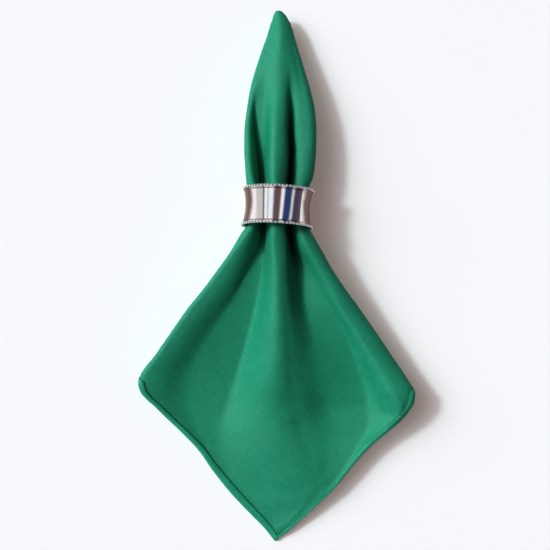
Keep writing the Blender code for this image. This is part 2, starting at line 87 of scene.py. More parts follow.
LEFT_FLANK = (
    (155.2, 1.4, 13.1), (151, 0.7, 14.1), (138, -2.2, 16.6), (126, -5.6, 18.4), (115, -9, 19.8),
    (108, -11, 20.6), (99, -12.2, 20), (91, -12.8, 18.4), (82, -12.5, 16.6), (73, -11.4, 15),
    (66, -10.4, 14), (60, -9.6, 13.6), (52, -9.2, 13.2), (41, -8.8, 13), (30, -8.6, 13),
    (24, -8.4, 13.4), (19, -9.4, 14.2), (14, -11.4, 15.4), (9, -13.8, 16.4), (3, -17, 16.8),
    (-9, -22, 16.2), (-21, -29.4, 14.6), (-33, -37.2, 12.6), (-45, -44.4, 10.4), (-57, -49.6, 8),
    (-69, -51.6, 6), (-81, -50.3, 4.6), (-93, -46, 4), (-105, -41.1, 3.8), (-117, -33.9, 3.8),
    (-129, -25.2, 3.6), (-145, -11.5, 2.6), (-152, -5.2, 1.9), (-159.2, -0.8, 1.1),
)
LEFT_VALLEY = (
    (155.2, 1.6, 13.3), (151, 1.4, 14.6), (138, -0.6, 17.2), (126, -3.6, 19.4), (115, -6.4, 20.4),
    (108, -7.6, 20.8), (99, -7.4, 20.6), (91, -7, 20), (82, -6.7, 19.6), (76, -6.8, 18.8),
    (70, -7.4, 17), (64, -7.6, 15.4), (58, -7.4, 14.6), (52, -7.2, 14), (41, -7, 13.8), (30, -6.6, 13.8),
    (24, -6.4, 14), (20, -6.8, 14.2), (15, -7, 15), (9, -7.4, 15.8), (3, -8.2, 15.4),
    (-9, -10.2, 14.4), (-21, -12.9, 12.8), (-33, -16.2, 10.8), (-45, -19.5, 8.6), (-57, -23.5, 6.6),
    (-69, -27.7, 5), (-81, -32, 3.9), (-93, -35.4, 3.6), (-105, -34.6, 3.5), (-117, -30.6, 3.5),
    (-129, -22.8, 3.4), (-145, -10.3, 2.5), (-152, -4.5, 1.9), (-159.2, -0.6, 1.1),
)
MIDDLE_CREST = (
    (155.2, 1.9, 13.4), (150, 2.4, 15.4), (143, 3, 17.6), (135, 3.2, 19.8), (125, 2.8, 22),
    (116, 2.8, 23.6), (107, 2.4, 25.4), (98, 1.2, 27.4), (89, 0, 29.6), (80, -0.6, 31.8), (71, -1, 34.2),
    (64, -1.2, 36), (58, -1.2, 36.4), (52, -1, 36.2), (41, -0.6, 36), (30, -0.8, 36), (24, -1.2, 35.6),
    (20, -1.2, 34.8), (14, -0.6, 33.6), (9, -0.2, 32.8), (3, 0.2, 32), (-9, 0.6, 30.8),
    (-20, 0.8, 29.8), (-32, 1, 28.4), (-44, 1, 26.4), (-56, 1, 23.8), (-68, 0.9, 20.4), (-80, 1, 16.8),
    (-92, 2.6, 15), (-102, 6.5, 14.4), (-110, 11, 13.7), (-118, 16, 12.7), (-127, 18.6, 11),
    (-136, 15, 8.8), (-146, 8, 5.8), (-152, 4.2, 4), (-159.2, 0, 1.2),
)
SHOULDER = (
    (155.2, 2.1, 13.4), (150, 3, 15.2), (138, 4.4, 18.7), (126, 5.2, 21.5), (117, 5.8, 22.9),
    (108, 5.8, 24.4), (99, 5.5, 26.1), (91, 5.2, 27.9), (82, 5, 29.4), (73, 5.1, 31.5), (64, 5, 33.2),
    (58, 4.3, 33.8), (52, 4, 33.8), (41, 4, 33.8), (30, 4, 33.8), (24, 4.2, 33.5), (20, 5, 32.5),
    (14, 5.2, 31.8), (8, 5.5, 30.8), (3, 5.6, 30.1), (-9, 5.8, 29.1), (-20, 6.4, 27.9),
    (-37, 8.7, 25.2), (-54, 9.8, 21.9), (-66, 10.8, 18.8), (-78, 14, 15.2), (-92, 17, 12.5),
    (-104, 21, 12.6), (-112, 23, 12.8), (-120, 23.6, 12.2), (-128, 22.2, 10.9), (-136, 17.6, 9),
    (-144, 11.4, 6.9), (-152, 4.8, 4), (-159.2, 0.3, 1.2),
)
RIGHT_VALLEY = (
    (155.2, 2.3, 13.3), (150, 3.6, 15), (138, 5.8, 18.3), (126, 7.8, 20.8), (117, 8.7, 21.8),
    (108, 8.8, 22), (99, 8.8, 20), (91, 8.8, 17.6), (82, 8.9, 15.6), (72, 9.4, 14), (66, 9, 13.4),
    (60, 8.8, 13), (52, 8.4, 12.8), (41, 8, 12.8), (30, 8, 12.8), (24, 8, 12.8), (20, 8.6, 12.8),
    (14, 9.8, 13.4), (9, 11, 14.2), (3, 12.6, 15.8), (-9, 15.6, 17.6), (-21, 18.6, 18.2),
    (-33, 22, 17.8), (-45, 25, 16.8), (-57, 27.4, 15), (-69, 31, 11.8), (-80, 34.5, 9), (-92, 38, 9.6),
    (-104, 37, 10.9), (-112, 34, 11.6), (-120, 29.6, 12), (-128, 25.4, 10.9), (-136, 19.4, 9.1),
    (-144, 12.6, 6.9), (-152, 5.4, 4), (-159.2, 0.6, 1.2),
)
RIGHT_FOOT = (
    (155.2, 2.6, 13.1), (151, 4.1, 14.6), (138, 7.2, 17.8), (126, 9.8, 20.2), (117, 11.4, 21.4),
    (108, 12.2, 22.2), (99, 12.4, 22.8), (91, 12.3, 23.4), (82, 12.4, 24), (73, 12.8, 24.4),
    (66, 12, 24.6), (60, 11.4, 24.6), (52, 10.9, 24.6), (41, 10.6, 24.6), (30, 11, 24.2),
    (24, 11.4, 22.8), (20, 12, 22), (14, 14, 21.6), (9, 17, 21.2), (3, 20, 20.8),
    (-9, 26.4, 20.2), (-21, 33.4, 18.6), (-33, 40, 16.4), (-45, 45, 14.2), (-57, 49.4, 12),
    (-68, 52.4, 10.4), (-80, 53.4, 9.8), (-92, 53, 10.2), (-104, 46.8, 11.3), (-116, 38.4, 11.9),
    (-128, 29.4, 11.2), (-136, 21.6, 9.2), (-144, 13.6, 7.1), (-152, 6, 4.1), (-159.2, 0.8, 1.2),
)
RIGHT_RIDGE = (
    (155.2, 2.8, 12.9), (151, 5.7, 14), (140, 8.8, 16), (126, 12.2, 19), (117, 14.4, 20.6),
    (108, 16.8, 22), (99, 18.4, 23), (90, 19.4, 23.8), (81, 19.4, 24.6), (72, 18.6, 25.4), (62, 16.4, 26.6),
    (52, 14.4, 27.6), (41, 13.4, 28.2), (30, 14.2, 28.6), (23, 15.2, 29), (19, 16.8, 29), (14, 19.6, 28.6),
    (9, 22.7, 28), (3, 26.1, 27.2), (-9, 33.6, 26), (-20, 38.7, 24.8), (-32, 46.3, 23.8),
    (-43, 53.4, 23.4), (-55, 61.2, 23.6), (-62, 65.6, 24.2), (-68, 68.8, 24.6), (-74, 71.6, 24.2),
    (-80, 72.8, 22.6), (-88, 66.6, 18.8), (-98, 55.8, 15), (-110, 45.6, 13.4), (-120, 38.2, 12.6),
    (-128, 31, 11.5), (-136, 23.3, 9.5), (-144, 15, 7.3), (-152, 7.2, 4.4), (-159.2, 1, 1.2),
)
RIGHT_EDGE = (
    (155.2, 3.8, 12), (153.6, 5.3, 12), (151, 7.1, 12.3), (146, 9.2, 12.5), (140, 10.8, 13.2),
    (133, 12.8, 14.4), (121, 16.3, 16.6), (109, 19.7, 18.4), (97, 22.1, 19.6), (85, 22.9, 20.8),
    (73, 22.8, 21.8), (61.5, 22, 22.4), (56, 20.8, 22.4), (52, 19, 22.2), (47, 17.1, 21.8), (41, 16.5, 21.4),
    (34, 16.8, 21.8), (29, 17.4, 22.4), (24, 20.4, 23.2), (13, 26.8, 23.6), (3, 32.4, 23),
    (-9, 40.5, 21.6), (-20, 48.7, 20.2), (-32, 57.1, 19.2), (-44, 65.4, 18.8), (-50, 69.4, 18.8),
    (-55, 72.9, 19), (-60, 76, 19.5), (-65, 79.1, 20.4), (-69, 80.6, 21.1), (-74, 80, 21.2),
    (-80, 76.6, 20.4), (-85, 72.8, 18.9), (-91, 66.6, 16.9), (-98, 58.9, 14.9), (-104, 53, 14),
    (-116, 42.9, 12.8), (-128, 33.2, 11.6), (-141, 20.1, 8.3), (-148, 13.1, 6.2), (-154, 6.8, 3.6),
    (-159.2, 1.4, 1.6),
)
INNER_LINES = (LEFT_CREST, LEFT_FLANK, LEFT_VALLEY, MIDDLE_CREST, SHOULDER, RIGHT_VALLEY, RIGHT_FOOT,
               RIGHT_RIDGE)

# How far the level top of a crest and floor of a valley reach towards the next fold line: a value for
# each inner line, at places along the napkin
REACH_COLUMNS = ("y", "left crest", "flank", "left valley", "middle", "shoulder", "right valley", "foot",
                 "ridge")
REACHES = (
    (156, 0.4, 0.33, 0.33, 0.4, 0.33, 0.33, 0.33, 0.4), (105, 0.5, 0.3, 0.4, 0.5, 0.3, 0.35, 0.33, 0.6),
    (90, 0.8, 0.22, 0.5, 0.5, 0.3, 0.3, 0.3, 0.7), (75, 0.9, 0.2, 0.5, 0.45, 0.3, 0.28, 0.3, 0.7),
    (56, 0.8, 0.25, 0.35, 0.45, 0.3, 0.3, 0.3, 0.7), (24, 0.9, 0.15, 0.3, 0.45, 0.3, 0.3, 0.3, 0.5),
    (5, 0.9, 0.12, 0.3, 0.45, 0.3, 0.3, 0.3, 0.4), (-30, 0.55, 0.25, 0.24, 0.45, 0.33, 0.35, 0.33, 0.45),
    (-100, 0.45, 0.33, 0.28, 0.45, 0.33, 0.4, 0.33, 0.4), (-160, 0.4, 0.33, 0.33, 0.4, 0.33, 0.4, 0.33, 0.4),
)

# Underside of the turned sides: height, and how far in from the side fold the cloth comes down to it
WING_COLUMNS = ("y", "height", "left_turn", "right_turn")
WINGS = (
    (156.2, 10.2, 1.2, 1.2), (151, 9.6, 3.4, 3.4), (133, 8.6, 7, 7), (109, 7.8, 13, 13),
    (85, 6.8, 16, 16), (61, 6.5, 15, 15), (41, 7, 14, 14), (31, 7.3, 13.6, 15), (24, 5.9, 14.6, 16.8),
    (15, 1, 18, 19), (0, 1, 20, 24), (-28, 1, 22, 28), (-68, 1, 22, 30),
)
WING_GAP = 1.6             # each turned side stops this far from the middle line
WING_FULL_Y = -27.0        # past here it shortens towards the corner of its fold
LEFT_CORNER_Y = -63.0
RIGHT_CORNER_Y = -68.0
HEM_BLEND = 14.0           # below a side corner the round side fold fades to a flat hem over this

# Ends of the fold tables, and the rounded corners past them
FIRST_ROW_Y = 155.2
LAST_ROW_Y = -159.2
CLOSED_CORNER = (1.7, 156.4, 12.0)
OPEN_CORNER = (0.0, -160.4, 1.2)
ROW_STEP = 0.5             # between rows of the worked-out surface
CAP_ROWS = 8               # in each rounded corner
COLUMNS_PER_SIDE = 320
FOLD_STEPS = 16            # between neighbouring fold lines
WING_STEPS = 17            # round the turn under a side fold
CELL_MARGIN = 0.001        # keeps a read inside the last cell of the surface
TINY = 1e-9                # keeps a division off zero

# Soft wrinkles: length, width, rise and seed. They die out at the ring
WRINKLES = ((70.0, 30.0, 0.42, 1.0), (26.0, 12.0, 0.12, 5.0), (9.0, 7.0, 0.035, 9.0))
RING_Y = 39.0
CALM_REACH = (14.0, 40.0)


class NapkinSettings(PropertyGroup):
    """Sizes and colours of the napkin."""

    side: FloatProperty(
        name="Side", description="Side of the square napkin, hems sewn", default=0.457, unit="LENGTH")
    ply_gap: FloatProperty(
        name="Ply gap", description="From one ply of cloth to the next", default=0.00045, unit="LENGTH")
    hem_width: FloatProperty(
        name="Hem width", description="Width of the turned hem", default=0.0030, unit="LENGTH")
    hem_rise: FloatProperty(
        name="Hem rise", description="How far the hem stands over the cloth", default=0.0009,
        unit="LENGTH")
    fine_step: FloatProperty(
        name="Fine step", description="Mesh step on the two upper plies", default=0.00135,
        unit="LENGTH")
    coarse_step: FloatProperty(
        name="Coarse step", description="Mesh step on the two lower plies", default=0.0026,
        unit="LENGTH")
    thread_pitch: FloatProperty(
        name="Thread pitch", description="From one thread of the weave to the next", default=0.00062,
        unit="LENGTH")
    linen_colour: FloatVectorProperty(
        name="Linen colour", description="Dyed linen, as linear RGB", default=(0.0165, 0.331, 0.219),
        subtype="COLOR", size=3, min=0.0, max=1.0)
    stitch_length: FloatProperty(
        name="Stitch length", description="Length of one hem stitch", default=0.0022, unit="LENGTH")
    stitch_gap: FloatProperty(
        name="Stitch gap", description="Space between two hem stitches", default=0.0004,
        unit="LENGTH")
    thread_radius: FloatProperty(
        name="Thread radius", description="Radius of the sewing thread", default=0.00015,
        unit="LENGTH")
    # Colour of the sewing thread, also used for the painted shade along the seam
    thread_and_seam_shade_colour: FloatVectorProperty(
        name="Thread colour", description="Sewing thread, as linear RGB", default=(0.009, 0.25, 0.16),
        subtype="COLOR", size=3, min=0.0, max=1.0)


class RingSettings(PropertyGroup):
    """Sizes and finish of the napkin ring."""

    waist_radius: FloatProperty(
        name="Waist radius", description="Outer radius at the waist", default=0.0187, unit="LENGTH")
    rim_radius: FloatProperty(
        name="Rim radius", description="Outer radius over the beads", default=0.02115, unit="LENGTH")
    half_length: FloatProperty(
        name="Half length", description="Half of the ring's length", default=0.0114, unit="LENGTH")
    wall: FloatProperty(
        name="Wall", description="Thickness of the metal", default=0.0012, unit="LENGTH")
    bead_radius: FloatProperty(
        name="Bead radius", description="Radius of one bead", default=0.00085, unit="LENGTH")
    bead_count: IntProperty(
        name="Beads", description="Beads round each rim", default=60, min=3)
    pitch: FloatProperty(
        name="Pitch", description="How far the ring's top leans to the closed corner",
        default=math.radians(4.0), subtype="ANGLE")
    yaw: FloatProperty(
        name="Yaw", description="How far the ring is turned on the table", default=math.radians(-2.9),
        subtype="ANGLE")
    silver_colour: FloatVectorProperty(
        name="Silver colour", description="Polished silver, as linear RGB", default=(0.90, 0.89, 0.88),
        subtype="COLOR", size=3, min=0.0, max=1.0)
    # Colour of tarnish spots and dulled hollows, and of the painted reflection on the band's sides and lower
    # part
    tarnish_and_reflection_colour: FloatVectorProperty(
        name="Tarnish colour", description="Where the silver has dulled, as linear RGB",
        default=(0.29, 0.19, 0.165), subtype="COLOR", size=3, min=0.0, max=1.0)
    roughness: FloatProperty(
        name="Roughness", description="Roughness of the polish", default=0.06, subtype="FACTOR",
        min=0.0, max=1.0)


class StageSettings(PropertyGroup):
    """Table, light and camera."""

    view_width: FloatProperty(
        name="View width", description="Width of table in view", default=0.33275, unit="LENGTH")
    camera_height: FloatProperty(
        name="Camera height", description="Height of the camera over the table", default=0.6,
        unit="LENGTH")
    camera_x: FloatProperty(
        name="Camera X", description="Place of the camera across the napkin", default=0.0005,
        unit="LENGTH")
    camera_y: FloatProperty(
        name="Camera Y", description="Place of the camera along the napkin", default=0.00153,
        unit="LENGTH")
    table_colour: FloatVectorProperty(
        name="Table colour", description="Pale table, as linear RGB", default=(0.607, 0.689, 0.735),
        subtype="COLOR", size=3, min=0.0, max=1.0)
    # Painted fill light: the table top glows so that the shadows on it stay light and warm
    table_painted_fill_glow: FloatVectorProperty(
        name="Table glow", description="Light that comes through the table, as linear RGB",
        default=(0.29, 0.213, 0.195), subtype="COLOR", size=3, min=0.0, max=1.0)
    key_strength: FloatProperty(
        name="Key strength", description="Strength of the window light", default=1.45, min=0.0)
    key_spread: FloatProperty(
        name="Key spread", description="Angle that the window light fills, seen from the table",
        default=math.radians(8.0), subtype="ANGLE")
    frame_strength: FloatProperty(
        name="Frame strength", description="Strength of the light from the window's pale frame",
        default=1.1, min=0.0)
    frame_spread: FloatProperty(
        name="Frame spread", description="Angle that the window's pale frame spans",
        default=math.radians(32.0), subtype="ANGLE")
    soft_strength: FloatProperty(
        name="Soft strength", description="Strength of the light from the wall round the window",
        default=1.55, min=0.0)
    soft_spread: FloatProperty(
        name="Soft spread", description="Angle that the wall round the window fills",
        default=math.radians(65.0), subtype="ANGLE")
    fill_strength: FloatProperty(
        name="Fill", description="Strength of the light from all round", default=0.14, min=0.0)
    contrast: FloatProperty(
        name="Contrast", description="Contrast of the picture, 1 for none added", default=1.5,
        min=0.5, max=2.0)


def soft_slopes(places, values):
    """Slopes of a curve through the values that never swings past them."""
    steps = np.diff(places, axis=-1)
    rises = np.diff(values, axis=-1) / steps
    before, after = rises[..., :-1], rises[..., 1:]
    first = 2 * steps[..., 1:] + steps[..., :-1]
    second = steps[..., 1:] + 2 * steps[..., :-1]
    same_way = before * after > 0
    safe_before = np.where(same_way, before, 1.0)
    safe_after = np.where(same_way, after, 1.0)
    middle = np.where(same_way, (first + second) / (first / safe_before + second / safe_after), 0.0)
    return np.concatenate([rises[..., :1], middle, rises[..., -1:]], axis=-1)


def read_table(table, columns, name, ys):
    """Reads the named column of a table at places along the napkin."""
    rows = np.array(sorted(table), dtype=float)
    places = rows[:, columns.index("y")]
    values = rows[:, columns.index(name)]
    slopes = soft_slopes(places, values)
    i = np.clip(np.searchsorted(places, ys) - 1, 0, len(places) - 2)
    step = places[i + 1] - places[i]
    t = np.clip((ys - places[i]) / step, 0, 1)
    start = (1 + 2 * t) * (1 - t) ** 2
    end = t * t * (3 - 2 * t)
    lean_in = t * (1 - t) ** 2 * step
    lean_out = t * t * (t - 1) * step
    return start * values[i] + end * values[i + 1] + lean_in * slopes[i] + lean_out * slopes[i + 1]


def read_line(line, ys):
    """Returns where a fold line runs at places along the napkin: rows of (x, z)."""
    columns = [read_table(line, LINE_COLUMNS, name, ys) for name in ("x", "z")]
    return np.stack(columns, axis=-1)


def smooth(value, start, end):
    """0 before start, 1 past end, with a soft step between them."""
    t = np.clip((value - start) / (end - start), 0, 1)
    return t * t * (3 - 2 * t)


def side_roll(edge, crest, flat):
    """Rows of points from the side fold up to its crest: a quarter round, straight at a hem."""
    share = np.arange(FOLD_STEPS) / FOLD_STEPS
    turn = math.pi / 2 * share
    flat = flat[:, None]
    across = (1 - flat) * (1 - np.cos(turn)) + flat * share
    up = (1 - flat) * np.sin(turn) + flat * share
    steps = np.stack([across, up], axis=-1)
    return edge[:, None] + (crest - edge)[:, None] * steps


def fold_curve(start, end, slopes, reaches):
    """Rows of points from one fold line up to the next, on a curve with a handle at each."""
    run = end[:, 0] - start[:, 0]
    first = start + np.stack([reaches[0] * run, reaches[0] * run * slopes[0]], axis=-1)
    second = end - np.stack([reaches[1] * run, reaches[1] * run * slopes[1]], axis=-1)
    t = (np.arange(FOLD_STEPS) / FOLD_STEPS)[None, :, None]
    return ((1 - t) ** 3 * start[:, None] + 3 * t * (1 - t) ** 2 * first[:, None]
            + 3 * t * t * (1 - t) * second[:, None] + t ** 3 * end[:, None])


def front_rows(ys):
    """Rows of points (x, z) of the front panel from its left edge to its right edge."""
    left, right = read_line(LEFT_EDGE, ys), read_line(RIGHT_EDGE, ys)
    inner = [read_line(line, ys) for line in INNER_LINES]
    left_flat = np.clip((LEFT_CORNER_Y - ys) / HEM_BLEND, 0, 1)
    right_flat = np.clip((RIGHT_CORNER_Y - ys) / HEM_BLEND, 0, 1)
    across = np.stack([points[:, 0] for points in inner], axis=-1)
    height = np.stack([points[:, 1] for points in inner], axis=-1)
    slopes = soft_slopes(across, height)
    slopes[:, 0] *= left_flat
    slopes[:, -1] *= right_flat
    reaches = [read_table(REACHES, REACH_COLUMNS, name, ys) for name in REACH_COLUMNS[1:]]
    stretches = [side_roll(left, inner[0], left_flat)]
    for i in range(len(inner) - 1):
        stretches.append(fold_curve(inner[i], inner[i + 1], slopes[:, i:i + 2].T, reaches[i:i + 2]))
    stretches.append(inner[-1][:, None])
    stretches.append(side_roll(right, inner[-1], right_flat)[:, ::-1])
    return np.concatenate(stretches, axis=1)


def wing_rows(ys, edge, side):
    """Rows of points of a turned-under side, from its side fold to near the middle line."""
    height = read_table(WINGS, WING_COLUMNS, "height", ys)
    turn_in = read_table(WINGS, WING_COLUMNS, "left_turn" if side < 0 else "right_turn", ys)
    middle = read_table(MIDDLE_CREST, LINE_COLUMNS, "x", np.maximum(ys, 0.0))
    turn_in = np.minimum(turn_in, np.abs(middle - edge[:, 0]) - WING_GAP)
    angle = np.linspace(0, math.pi / 2, WING_STEPS)
    x = edge[:, :1] - side * turn_in[:, None] * (1 - np.cos(angle))
    z = edge[:, 1:] - (edge[:, 1:] - height[:, None]) * np.sin(angle)
    turn = np.stack([x, z], axis=-1)
    end = np.stack([middle + side * WING_GAP, height], axis=-1)
    return np.concatenate([turn, end[:, None]], axis=1)


def run_lengths(points):
    """Length along a run of points, from its first."""
    return np.concatenate([[0], np.cumsum(np.hypot(*np.diff(points, axis=0).T))])


def read_run(points, runs, reads):
    """Points at the given lengths along a run of points."""
    return np.stack([np.interp(reads, runs, points[:, k]) for k in (0, 1)], axis=-1)


def half_row(front, wing, wing_share):
    """One row from the middle crest out over the side fold and under, evenly spaced."""
    runs = run_lengths(wing)
    keep = runs[-1] * wing_share
    reads = np.linspace(0, keep, WING_STEPS) if keep > 0 else np.zeros(0)
    path = np.concatenate([front, read_run(wing, runs, reads)[1:]])
    runs = run_lengths(path)
    return read_run(path, runs, np.linspace(0, runs[-1], COLUMNS_PER_SIDE + 1))


def soft_noise(u, v, seed):
    """Soft uneven values, about -1 to 1, that change over steps of 1."""
    values = [noise.noise((a, b, seed)) for a, b in zip(u.ravel(), v.ravel())]
    return np.array(values).reshape(u.shape)


class Drape:
    """The surface in the middle of the stack of plies, read by place on the flat folded napkin.

    A place is its distance from the closed corner along the diagonal, and its distance from the
    diagonal, positive to the right.
    """

    def __init__(self, side):
        self.side = side
        self.diagonal = side * math.sqrt(2)
        self.ys = np.linspace(LAST_ROW_Y, FIRST_ROW_Y, round((FIRST_ROW_Y - LAST_ROW_Y) / ROW_STEP))
        self.grid = self.body_rows(self.ys)
        self.add_cap(OPEN_CORNER, 0)
        self.add_cap(CLOSED_CORNER, -1)
        self.normals = self.grid_normals()

    def body_rows(self, ys):
        """Rows of points of the whole surface, left free edge first."""
        front = front_rows(ys)
        middle = (1 + INNER_LINES.index(MIDDLE_CREST)) * FOLD_STEPS
        rows = np.empty((len(ys), 2 * COLUMNS_PER_SIDE + 1, 3))
        wings = {side: wing_rows(ys, front[:, 0 if side < 0 else -1], side) for side in (-1, 1)}
        for i, y in enumerate(ys):
            shares = [np.clip((y - corner) / (WING_FULL_Y - corner), 0, 1)
                      for corner in (LEFT_CORNER_Y, RIGHT_CORNER_Y)]
            left = half_row(front[i, middle::-1], wings[-1][i], shares[0])
            right = half_row(front[i, middle:], wings[1][i], shares[1])
            rows[i, :, [0, 2]] = np.concatenate([left[::-1], right[1:]]).T
        rows[:, :, 1] = ys[:, None]
        return rows

    def add_cap(self, corner, end):
        """Adds rows that round off the surface towards a corner of the folded napkin."""
        last = self.grid[end]
        corner = np.array(corner)
        y = self.ys[end]
        caps = []
        places = []
        for i in range(1, CAP_ROWS + 1):
            turn = math.pi / 2 * i / CAP_ROWS
            centre = np.array([corner[0], y, corner[2]])
            row = centre + (last - centre) * math.cos(turn)
            row[:, 1] = y + (corner[1] - y) * math.sin(turn)
            caps.append(row)
            places.append(row[0, 1])
        if end == 0:
            self.grid = np.concatenate([np.array(caps[::-1]), self.grid])
            self.ys = np.concatenate([places[::-1], self.ys])
        else:
            self.grid = np.concatenate([self.grid, np.array(caps)])
            self.ys = np.concatenate([self.ys, places])

    def grid_normals(self):
        """Unit normals of the surface, upwards on the front panel."""
        along = np.gradient(self.grid, axis=0)
        across = np.gradient(self.grid, axis=1)
        normals = np.cross(across, along)
        lengths = np.linalg.norm(normals, axis=-1, keepdims=True)
        return np.where(lengths > TINY, normals / np.maximum(lengths, TINY), (0.0, 0.0, 1.0))

    def read(self, along, aside):
        """Points and unit normals at places on the flat folded napkin, in millimetres."""
        half = np.minimum(along, self.diagonal - along)
        share = np.clip(aside / np.maximum(half, TINY), -1, 1)
        y = CLOSED_CORNER[1] + (OPEN_CORNER[1] - CLOSED_CORNER[1]) * along / self.diagonal
        last_row, last_column = (count - 1 - CELL_MARGIN for count in self.grid.shape[:2])
        row = np.clip(np.interp(y, self.ys, np.arange(len(self.ys))), 0, last_row)
        column = np.clip((share + 1) * COLUMNS_PER_SIDE, 0, last_column)
        i, j = row.astype(int), column.astype(int)
        s, t = (row - i)[..., None], (column - j)[..., None]

        def blend(values):
            """Reads the grid between its rows and columns."""
            upper = values[i, j] * (1 - t) + values[i, j + 1] * t
            lower = values[i + 1, j] * (1 - t) + values[i + 1, j + 1] * t
            return upper * (1 - s) + lower * s

        normal = blend(self.normals)
        normal /= np.maximum(np.linalg.norm(normal, axis=-1, keepdims=True), TINY)
        rise = sum(height * soft_noise(along / length, aside / width, seed)
                   for length, width, height, seed in WRINKLES)
        rise = rise * smooth(np.abs(y - RING_Y), *CALM_REACH)
        return blend(self.grid) + normal * rise[..., None], normal


class FoldedCloth:
    """Places the square cloth, folded in quarters, on the drape. Sizes are in millimetres.

    The plies are told apart by the sign of the sheet's own two coordinates, which start at its middle:
    the two with a negative first coordinate are the upper pair, and the two with a positive second
    coordinate are the outer pair.
    """

    EDGE_ROLL = 0.22             # radius of the turned edge of a hem
    SEAM_INSET = 0.1             # the seam is this far outside the hem's inner edge
    SEAM_DEPTH = 0.3             # how far the seam pulls the cloth in
    SEAM_REACH = 0.36            # how far from the seam the cloth is pulled in
    HEM_FALL = (-0.25, 0.35)     # the hem's rise ends between these places past its inner edge
    HEM_CROWN = 0.35             # how much less the hem rises at its sides than along its middle
    INNER_HEM = 0.25             # share of the hem's rise that shows on the inner plies
    CORNER_HEM = 0.3             # share of it that is left at a folded corner
    CORNER_REACH = (2, 12)       # distance from the corner over which the rest comes back
    SIDE_HEM = 0.1               # share of it that is left where the hem goes round a side fold
    SIDE_FACING = (0.25, 0.8)    # how far the cloth faces up or down where the rest comes back
    NEST_REACH = (0, 2)          # the inner plies lie inside the outer fold past this distance
    TUCK = 0.6                   # how far the hems of the three hidden plies stand back
    TUCK_REACH = (150, 228)      # distance from the fold over which they come to stand back
    TUCK_START = (0, 60)         # distance along the fold over which they do
    FOLD_LINES = (0.12, 0.35, 0.7, 1.2)
    # Mesh lines at a hem: distances in from its edge, steps round its turned edge and distances back
    FINE_HEM = ((5.8, 4.8, 4.0, 3.55, 3.3, 3.1, 2.9, 2.7, 2.45, 2.0, 1.4, 0.8, 0.45), 7, (1.0, 1.8, 2.6))
    COARSE_HEM = ((5.4, 3.7, 3.2, 2.8, 2.0, 0.9), 4, (1.3, 2.6))

    def __init__(self, settings):
        self.half = settings.side / 2 / MM
        self.gap = settings.ply_gap / MM
        self.hem = settings.hem_width / MM
        self.rise = settings.hem_rise / MM
        self.drape = Drape(self.half)

    def turn_edge(self, distance):
        """Place on the folded napkin, and drop to the wrong side, at a place on the sheet."""
        roll = self.EDGE_ROLL
        run = distance - (self.half - roll)
        angle = np.clip(run / roll, 0, math.pi)
        back = np.maximum(run - math.pi * roll, 0)
        place = np.where(run > 0, self.half - roll + roll * np.sin(angle) - back, distance)
        return place, roll * (1 - np.cos(angle))

    def fold_round(self, distance, radius):
        """0 on a fold and 1 past its round, like a quarter circle."""
        t = np.clip(distance / radius, 0, 1)
        return np.sqrt(1 - (1 - t) ** 2)

    def hem_lift(self, inset):
        """How far the cloth is pushed up by the hem, at a distance in from the hem's edge."""
        raised = 1 - smooth(inset, self.hem + self.HEM_FALL[0], self.hem + self.HEM_FALL[1])
        from_middle = np.abs(inset - self.hem / 2)
        crown = 1 - self.HEM_CROWN * smooth(from_middle, 0.3 * self.hem, 0.5 * self.hem)
        hollow = np.exp(-((inset - self.hem + self.SEAM_INSET) / self.SEAM_REACH) ** 2)
        return self.rise * raised * crown - self.SEAM_DEPTH * hollow

    def tucked(self, distance, other, hidden):
        """How far the hem of a hidden ply stands back from the hem of the top one."""
        return self.TUCK * hidden * smooth(distance, *self.TUCK_REACH) * smooth(other, *self.TUCK_START)

    def place(self, a, b, lift=0.0):
        """Points in metres of places (a, b) on the sheet, lifted off its right side."""
        side = np.where(a < 0, 1.0, -1.0)
        outward = np.where(b > 0, 1.0, -1.0)
        u, drop_u = self.turn_edge(np.abs(a))
        v, drop_v = self.turn_edge(np.abs(b))
        ply = 1 + 0.5 * outward * self.fold_round(v, 0.5 * self.gap)
        height = self.gap * ply * self.fold_round(u, self.gap * (1 + 0.5 * outward))
        hem = self.hem_lift(np.minimum(self.half - u, self.half - v)) * np.where(b > 0, 1.0, self.INNER_HEM)
        hem = hem * (self.CORNER_HEM + (1 - self.CORNER_HEM) * smooth(np.minimum(u, v), *self.CORNER_REACH))
        turned = -outward * (drop_u + drop_v)
        nest = self.gap * np.where(b > 0, 0, smooth(v, *self.NEST_REACH))
        nested = np.sqrt(u ** 2 + nest ** 2)
        hidden = np.where((a < 0) & (b > 0), 0.0, 1.0)
        u, v = nested - self.tucked(nested, v, hidden), v - self.tucked(v, nested, hidden)
        point, normal = self.drape.read((u + v) / math.sqrt(2), (v - u) / math.sqrt(2))
        facing = smooth(np.abs(normal[..., 2]), *self.SIDE_FACING)
        hem = hem * (self.SIDE_HEM + (1 - self.SIDE_HEM) * facing)
        point = point + normal * (side * (height + hem + turned + outward * lift))[..., None]
        point[..., 0] += CENTRING[0]
        point[..., 1] += CENTRING[1]
        point[..., 2] = np.maximum(point[..., 2], TABLE_CLEAR)
        return point * MM

    def lines(self, step, hem_lines):
        """Distances from the middle of the sheet of its mesh lines, out to the end of the hem."""
        insets, turns, back = hem_lines
        plain = (self.FOLD_LINES[-1], self.half - insets[0])
        plain = np.linspace(*plain, round((plain[1] - plain[0]) / step))[1:-1]
        edge = self.half - self.EDGE_ROLL + self.EDGE_ROLL * np.linspace(0, math.pi, turns)
        return np.concatenate([self.FOLD_LINES, plain, self.half - np.array(insets), edge,
                               edge[-1] + np.array(back)])


def link_object(name, data):
    """Makes an object and links it to the scene."""
    thing = bpy.data.objects.new(name, data)
    bpy.context.collection.objects.link(thing)
    return thing


def new_piece(name, data, material):
    """Makes a piece of the napkin or ring, which rides on the one body."""
    piece = link_object(name, data)
    data.materials.append(material)
    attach(piece, "root")
    return piece


